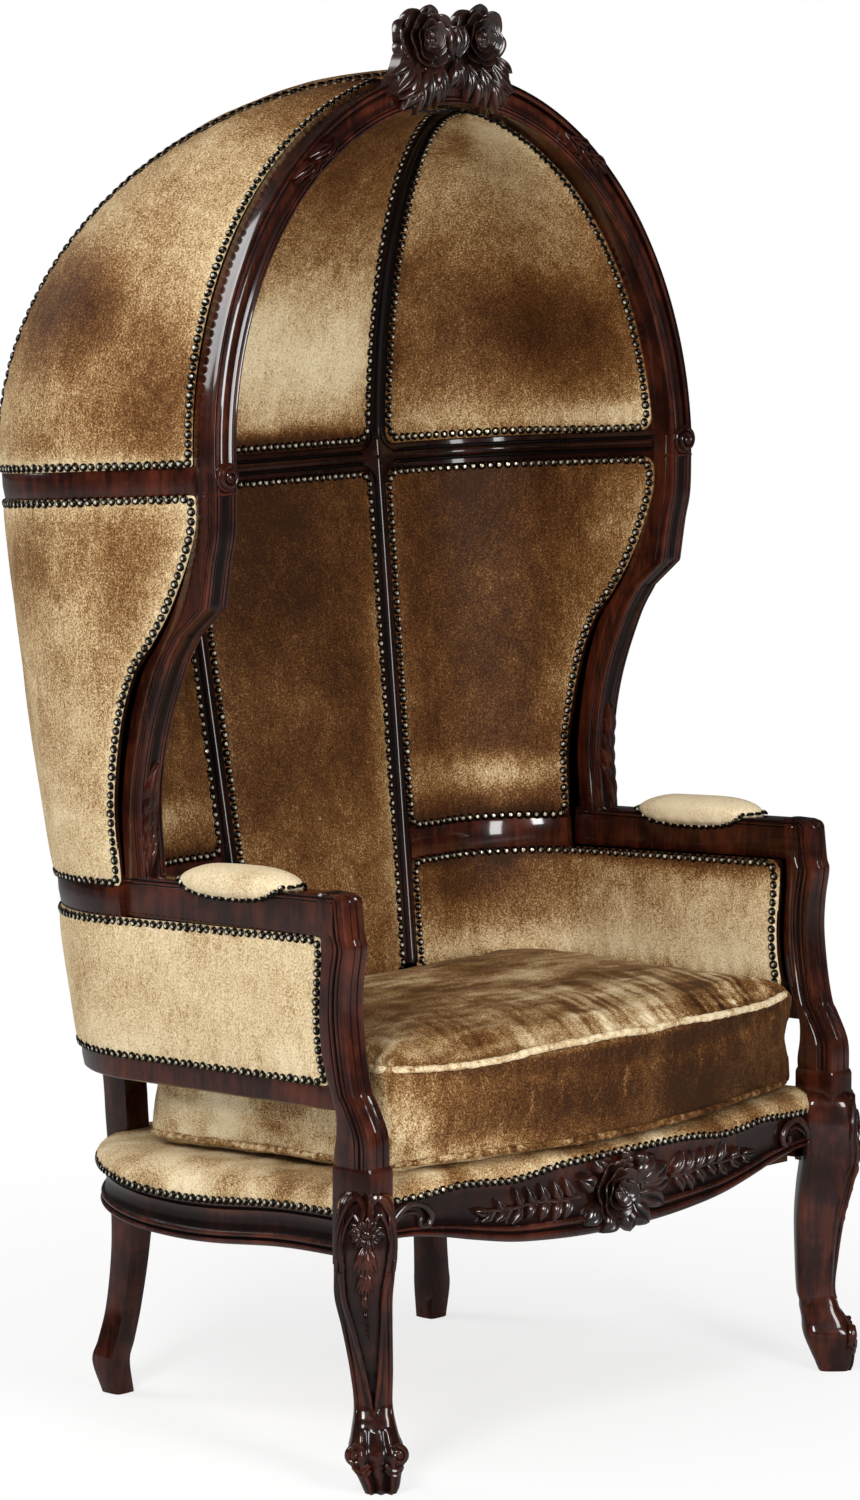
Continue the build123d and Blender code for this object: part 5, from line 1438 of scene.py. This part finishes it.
def seam(p, upper):
    """A rope along the upper or the lower seam of the cushion, laid over its points p."""
    lean = .75 if upper else -.75
    height = .4865 if upper else .3535 - DECK_SLOPE * (p[:, 1] + .1075)
    near = np.abs(p[:, 2] - height) < .016
    found = []
    for a in around(260):
        d = np.array([math.cos(a), math.sin(a)])
        rel = p[:, :2] - CUSHION_MIDDLE[:2]
        along = rel @ d
        pick = (np.abs(rel @ np.array([-d[1], d[0]])) < .008) & (along > 0) & near
        if pick.any():
            found.append(p[pick][np.argmax(along[pick] + lean * p[pick][:, 2])])
    q = np.array(found)
    for _ in range(12):
        q = (np.roll(q, 1, 0) + q * 2 + np.roll(q, -1, 0)) / 4
    q = even(np.vstack([q, q[:1]]), 901)[:-1]
    out = q - CUSHION_MIDDLE
    out[:, 2] = lean * np.linalg.norm(out[:, :2], axis=1) * .6
    out = unit(out)
    q = q + out * (.0030 + noise3(q, 60, 64) * .0005)[:, None]
    across = unit(np.cross(unit(np.roll(q, -1, 0) - np.roll(q, 1, 0)), out))
    a = around(12)[None, :, None]
    spoke = out[:, None] * np.cos(a) + across[:, None] * np.sin(a)
    rope = q[:, None] + (.0044 + noise3(q, 70, 65) * .0006)[:, None, None] * spoke
    rope += spoke * (noise3(rope, 190, 68) * .0009)[..., None]
    return rope.reshape(-1, 3), grid_faces(900, 12, close_n=True, close_m=True)


def seat_cushion():
    mesh = remesh(nodes["seat_cushion"], .0055)
    move_to(mesh, inflated(mesh, 4.0, .007))
    # one subdivision, then the pull of the stitches and soft creases along the edges
    rework(mesh, lambda bm: bmesh.ops.subdivide_edges(bm, edges=bm.edges, cuts=1, use_grid_fill=True,
                                                      smooth=.6))
    p, n = (vertex_values(mesh, key).astype(float) for key in ("co", "normal"))
    edge_top = np.exp(-((p[:, 2] - .484) / .020) ** 2) * (np.abs(n[:, 2]) < .97)
    run = np.arctan2(p[:, 1] + .1075, p[:, 0]) * .42
    crease = np.sin(run / .019 * 2 * math.pi + 3 * noise3(p, 9, 61)) * edge_top * .0011
    crease += noise3(p * (1, 1, .35), 26, 62) * .0016 + noise3(p, 60, 63) * .0006
    p = p + n * crease[:, None]
    move_to(mesh, p)
    # the cushion's painted sheen and painted shade
    store(mesh, "nap", cushion_sheen(p, n))
    mesh.shade_smooth()
    mesh.materials.clear()
    mesh.materials.append(velvet)
    mesh.name = "velvet_seat_cushion"
    dress(add_object("velvet_seat_cushion", mesh), "velvet", "seat_cushion", "cushion")
    # rolled piping along the upper and lower seams
    v, faces = Parts(seam(p, True), seam(p, False)).shape()
    # painted sheen of the piping: the upper rope bright, the lower one darker towards the right along the
    # front
    low_tone = np.where(v[:, 1] < -.25, np.clip(.50 - (v[:, 0] + .4) * .5, .2, .5), .55)
    nap = np.where(v[:, 2] > .42, .80, low_tone) + .16 * noise3(v, 30, 66) + .26 * noise3(v, 190, 67)
    mesh_piece("velvet_piping", (v, faces), velvet, body="cushion", nap=nap)


seat_deck()
arm_pads()
seat_cushion()

# Other CAD nodes

for key, obj in nodes.items():
    if not obj.hide_render:
        obj.data.materials.clear()
        obj.data.materials.append({"seat_webbing": webbing, "corner_blocks": plain_wood}.get(key, mahogany))


# Nails

def nail_tree():
    """Geometry Nodes: round nail heads along lines, seated on the direction stored with them."""
    tree = bpy.data.node_groups.new("nail_rows", "GeometryNodeTree")
    for label, way, kind in (("Geometry", "INPUT", "Geometry"), ("Pitch", "INPUT", "Float"),
                             ("Radius", "INPUT", "Float"), ("Geometry", "OUTPUT", "Geometry")):
        tree.interface.new_socket(label, in_out=way, socket_type=f"NodeSocket{kind}")

    def node(kind, settings=None, out=0, **sockets):
        return add_node(tree, kind, settings, out, **sockets)

    def chance(kind, out, seed, **limits):
        return node("FunctionNodeRandomValue", {"data_type": kind}, out, Seed=seed, **limits)
    lines = node("NodeGroupInput")
    pitch, radius = (Val(tree, lines.socket.node.outputs[key]) for key in ("Pitch", "Radius"))
    points = node("GeometryNodeResampleCurve", {"mode": "LENGTH"}, Length=pitch,
                  Curve=node("GeometryNodeMeshToCurve", Mesh=lines))
    out = node("GeometryNodeInputNamedAttribute", {"data_type": "FLOAT_VECTOR"}, Name="out")
    seated = node("FunctionNodeAlignRotationToVector", {"axis": "Z"}, Vector=out)
    tilt = node("FunctionNodeEulerToRotation",
                Euler=chance("FLOAT_VECTOR", 0, 3, i0=(-.14, -.14, 0), i1=(.14, .14, 3)))
    tilt = node("FunctionNodeRotateRotation", {"rotation_space": "LOCAL"}, i0=seated, i1=tilt)
    head = node("GeometryNodeMeshUVSphere", Segments=10, Rings=8, Radius=radius)
    head = node("GeometryNodeTransform", Geometry=head, Scale=(1, 1, NAIL_FLAT))
    height = node("ShaderNodeSeparateXYZ", out=2, i0=node("GeometryNodeInputPosition"))
    # the height on the head, which places the painted highlight on its crown
    head = node("GeometryNodeStoreNamedAttribute", {"data_type": "FLOAT", "domain": "POINT"},
                Geometry=head, Name="crown", Value=height / radius / NAIL_FLAT)
    buried = node("FunctionNodeCompare", {"data_type": "FLOAT", "operation": "LESS_THAN"},
                  i0=height, i1=-.0006)
    head = node("GeometryNodeDeleteGeometry", {"domain": "POINT"}, Geometry=head, Selection=buried)
    placed = node("GeometryNodeInstanceOnPoints", Points=points, Instance=head, Rotation=tilt,
                  Scale=chance("FLOAT", 1, 9, i2=.94, i3=1.05))
    real = node("GeometryNodeRealizeInstances", Geometry=placed)
    smooth = node("GeometryNodeSetShadeSmooth", Geometry=real)
    painted = node("GeometryNodeSetMaterial", Geometry=smooth, Material=brass)
    tree.links.new(painted.socket, tree.nodes.new("NodeGroupOutput").inputs[0])
    return tree


def nails():
    starts = np.cumsum([0] + [len(points) for points, _ in nail_lines])
    edges = [(i, i + 1) for a, b in zip(starts, starts[1:]) for i in range(a, b - 1)]
    mesh = bpy.data.meshes.new("nail_paths")
    mesh.from_pydata([tuple(p) for points, _ in nail_lines for p in points], edges, [])
    layer = mesh.attributes.new("out", "FLOAT_VECTOR", "POINT")
    layer.data.foreach_set("vector", np.vstack([n for _, n in nail_lines]).astype(np.float32).ravel())
    source = add_object("nail_paths", mesh)
    modifier = source.modifiers.new("nails", "NODES")
    modifier.node_group = nail_tree()
    sizes = {"Pitch": NAIL_PITCH, "Radius": NAIL_R}
    for item in modifier.node_group.interface.items_tree:
        if item.in_out == "INPUT" and item.name in sizes:
            modifier[item.identifier] = sizes[item.name]
    made = bpy.data.meshes.new_from_object(evaluated(source))
    bpy.data.objects.remove(source)
    made.name = "brass_nails"
    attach(add_object("brass_nails", made), "chair")


nails()

# Stage, light and camera

def stage():
    floor = bpy.data.meshes.new("floor")
    floor.from_pydata([(-30, -30, 0), (30, -30, 0), (30, 30, 0), (-30, 30, 0)], [], [(0, 1, 2, 3)])
    s = Shade("pale_floor", Roughness=.9, Specular_IOR_Level=.1)
    seen = s.node("ShaderNodeLightPath")
    mirrored = Val(s.tree, seen.socket.node.outputs["Is Glossy Ray"])
    s.set(Base_Color=s.node("ShaderNodeMix", {"data_type": "RGBA"}, out=2, i0=mirrored,
                            i6=(.93, .93, .925, 1), i7=(.3, .3, .3, 1)))
    glow = s.node("ShaderNodeEmission", Color=(1, 1, 1, 1), Strength=1.0)
    # the floor fades to plain white away from the chair
    far = s.node("ShaderNodeVectorMath", {"operation": "LENGTH"}, out=1,
                 i0=s.node("ShaderNodeTexCoord", out=3))
    fade = s.node("ShaderNodeMapRange", i0=far, i1=.35, i2=1.5, i3=.70, i4=1.0)
    mix = s.node("ShaderNodeMixShader", i0=seen * fade, i1=Val(s.tree, s.bsdf.outputs[0]), i2=glow)
    s.tree.links.new(mix.socket, s.tree.nodes["Material Output"].inputs[0])
    floor.materials.append(s.material)
    add_object("floor", floor)

    world = bpy.data.worlds.new("studio")
    bpy.context.scene.world = world
    world.use_nodes = True
    tree = world.node_tree
    seen = add_node(tree, "ShaderNodeLightPath")
    dim = add_node(tree, "ShaderNodeMix", {"data_type": "FLOAT"}, i2=.44, i3=.04,
                   i0=Val(tree, seen.socket.node.outputs["Is Glossy Ray"]))
    light = add_node(tree, "ShaderNodeMix", {"data_type": "FLOAT"}, i0=seen, i2=dim, i3=1.0)
    back = tree.nodes["Background"]
    back.inputs["Color"].default_value = (1, 1, 1, 1)
    tree.links.new(light.socket, back.inputs["Strength"])

    for name, place, aim, size, power in (
            ("key", (-3.4, -1.6, 3.0), (0, 0, .9), (.9, 1.8), 110),
            ("front", (-.9, -3.9, 2.0), (0, .1, .95), (1.0, 2.4), 105),
            ("rim", (-1.5, 3.0, 2.8), (0, 0, 1.1), (1.5, 2.0), 50)):
        lamp = bpy.data.lights.new(name, "AREA")
        lamp.shape, lamp.energy = "RECTANGLE", power
        lamp.size, lamp.size_y = size
        stand(add_object(name, lamp), place, Vector(aim) - Vector(place))


def stand(obj, place, look):
    """Puts a lamp or the camera in its place and turns it to look along a direction."""
    obj.location = place
    obj.rotation_mode = "QUATERNION"
    obj.rotation_quaternion = look.to_track_quat("-Z", "Y")


stage()

camera = bpy.data.cameras.new("camera")
camera.lens, camera.sensor_width, camera.clip_end = 138.8, 36, 100
pan, pitch = math.radians(47.029), math.radians(7.313)
look = Vector((math.sin(pan) * math.cos(pitch), math.cos(pan) * math.cos(pitch), -math.sin(pitch)))
bpy.context.scene.camera = add_object("camera", camera)
stand(bpy.context.scene.camera, (-5.13061, -4.80263, 1.69438), look)
bpy.context.scene.view_settings.view_transform = "Standard"
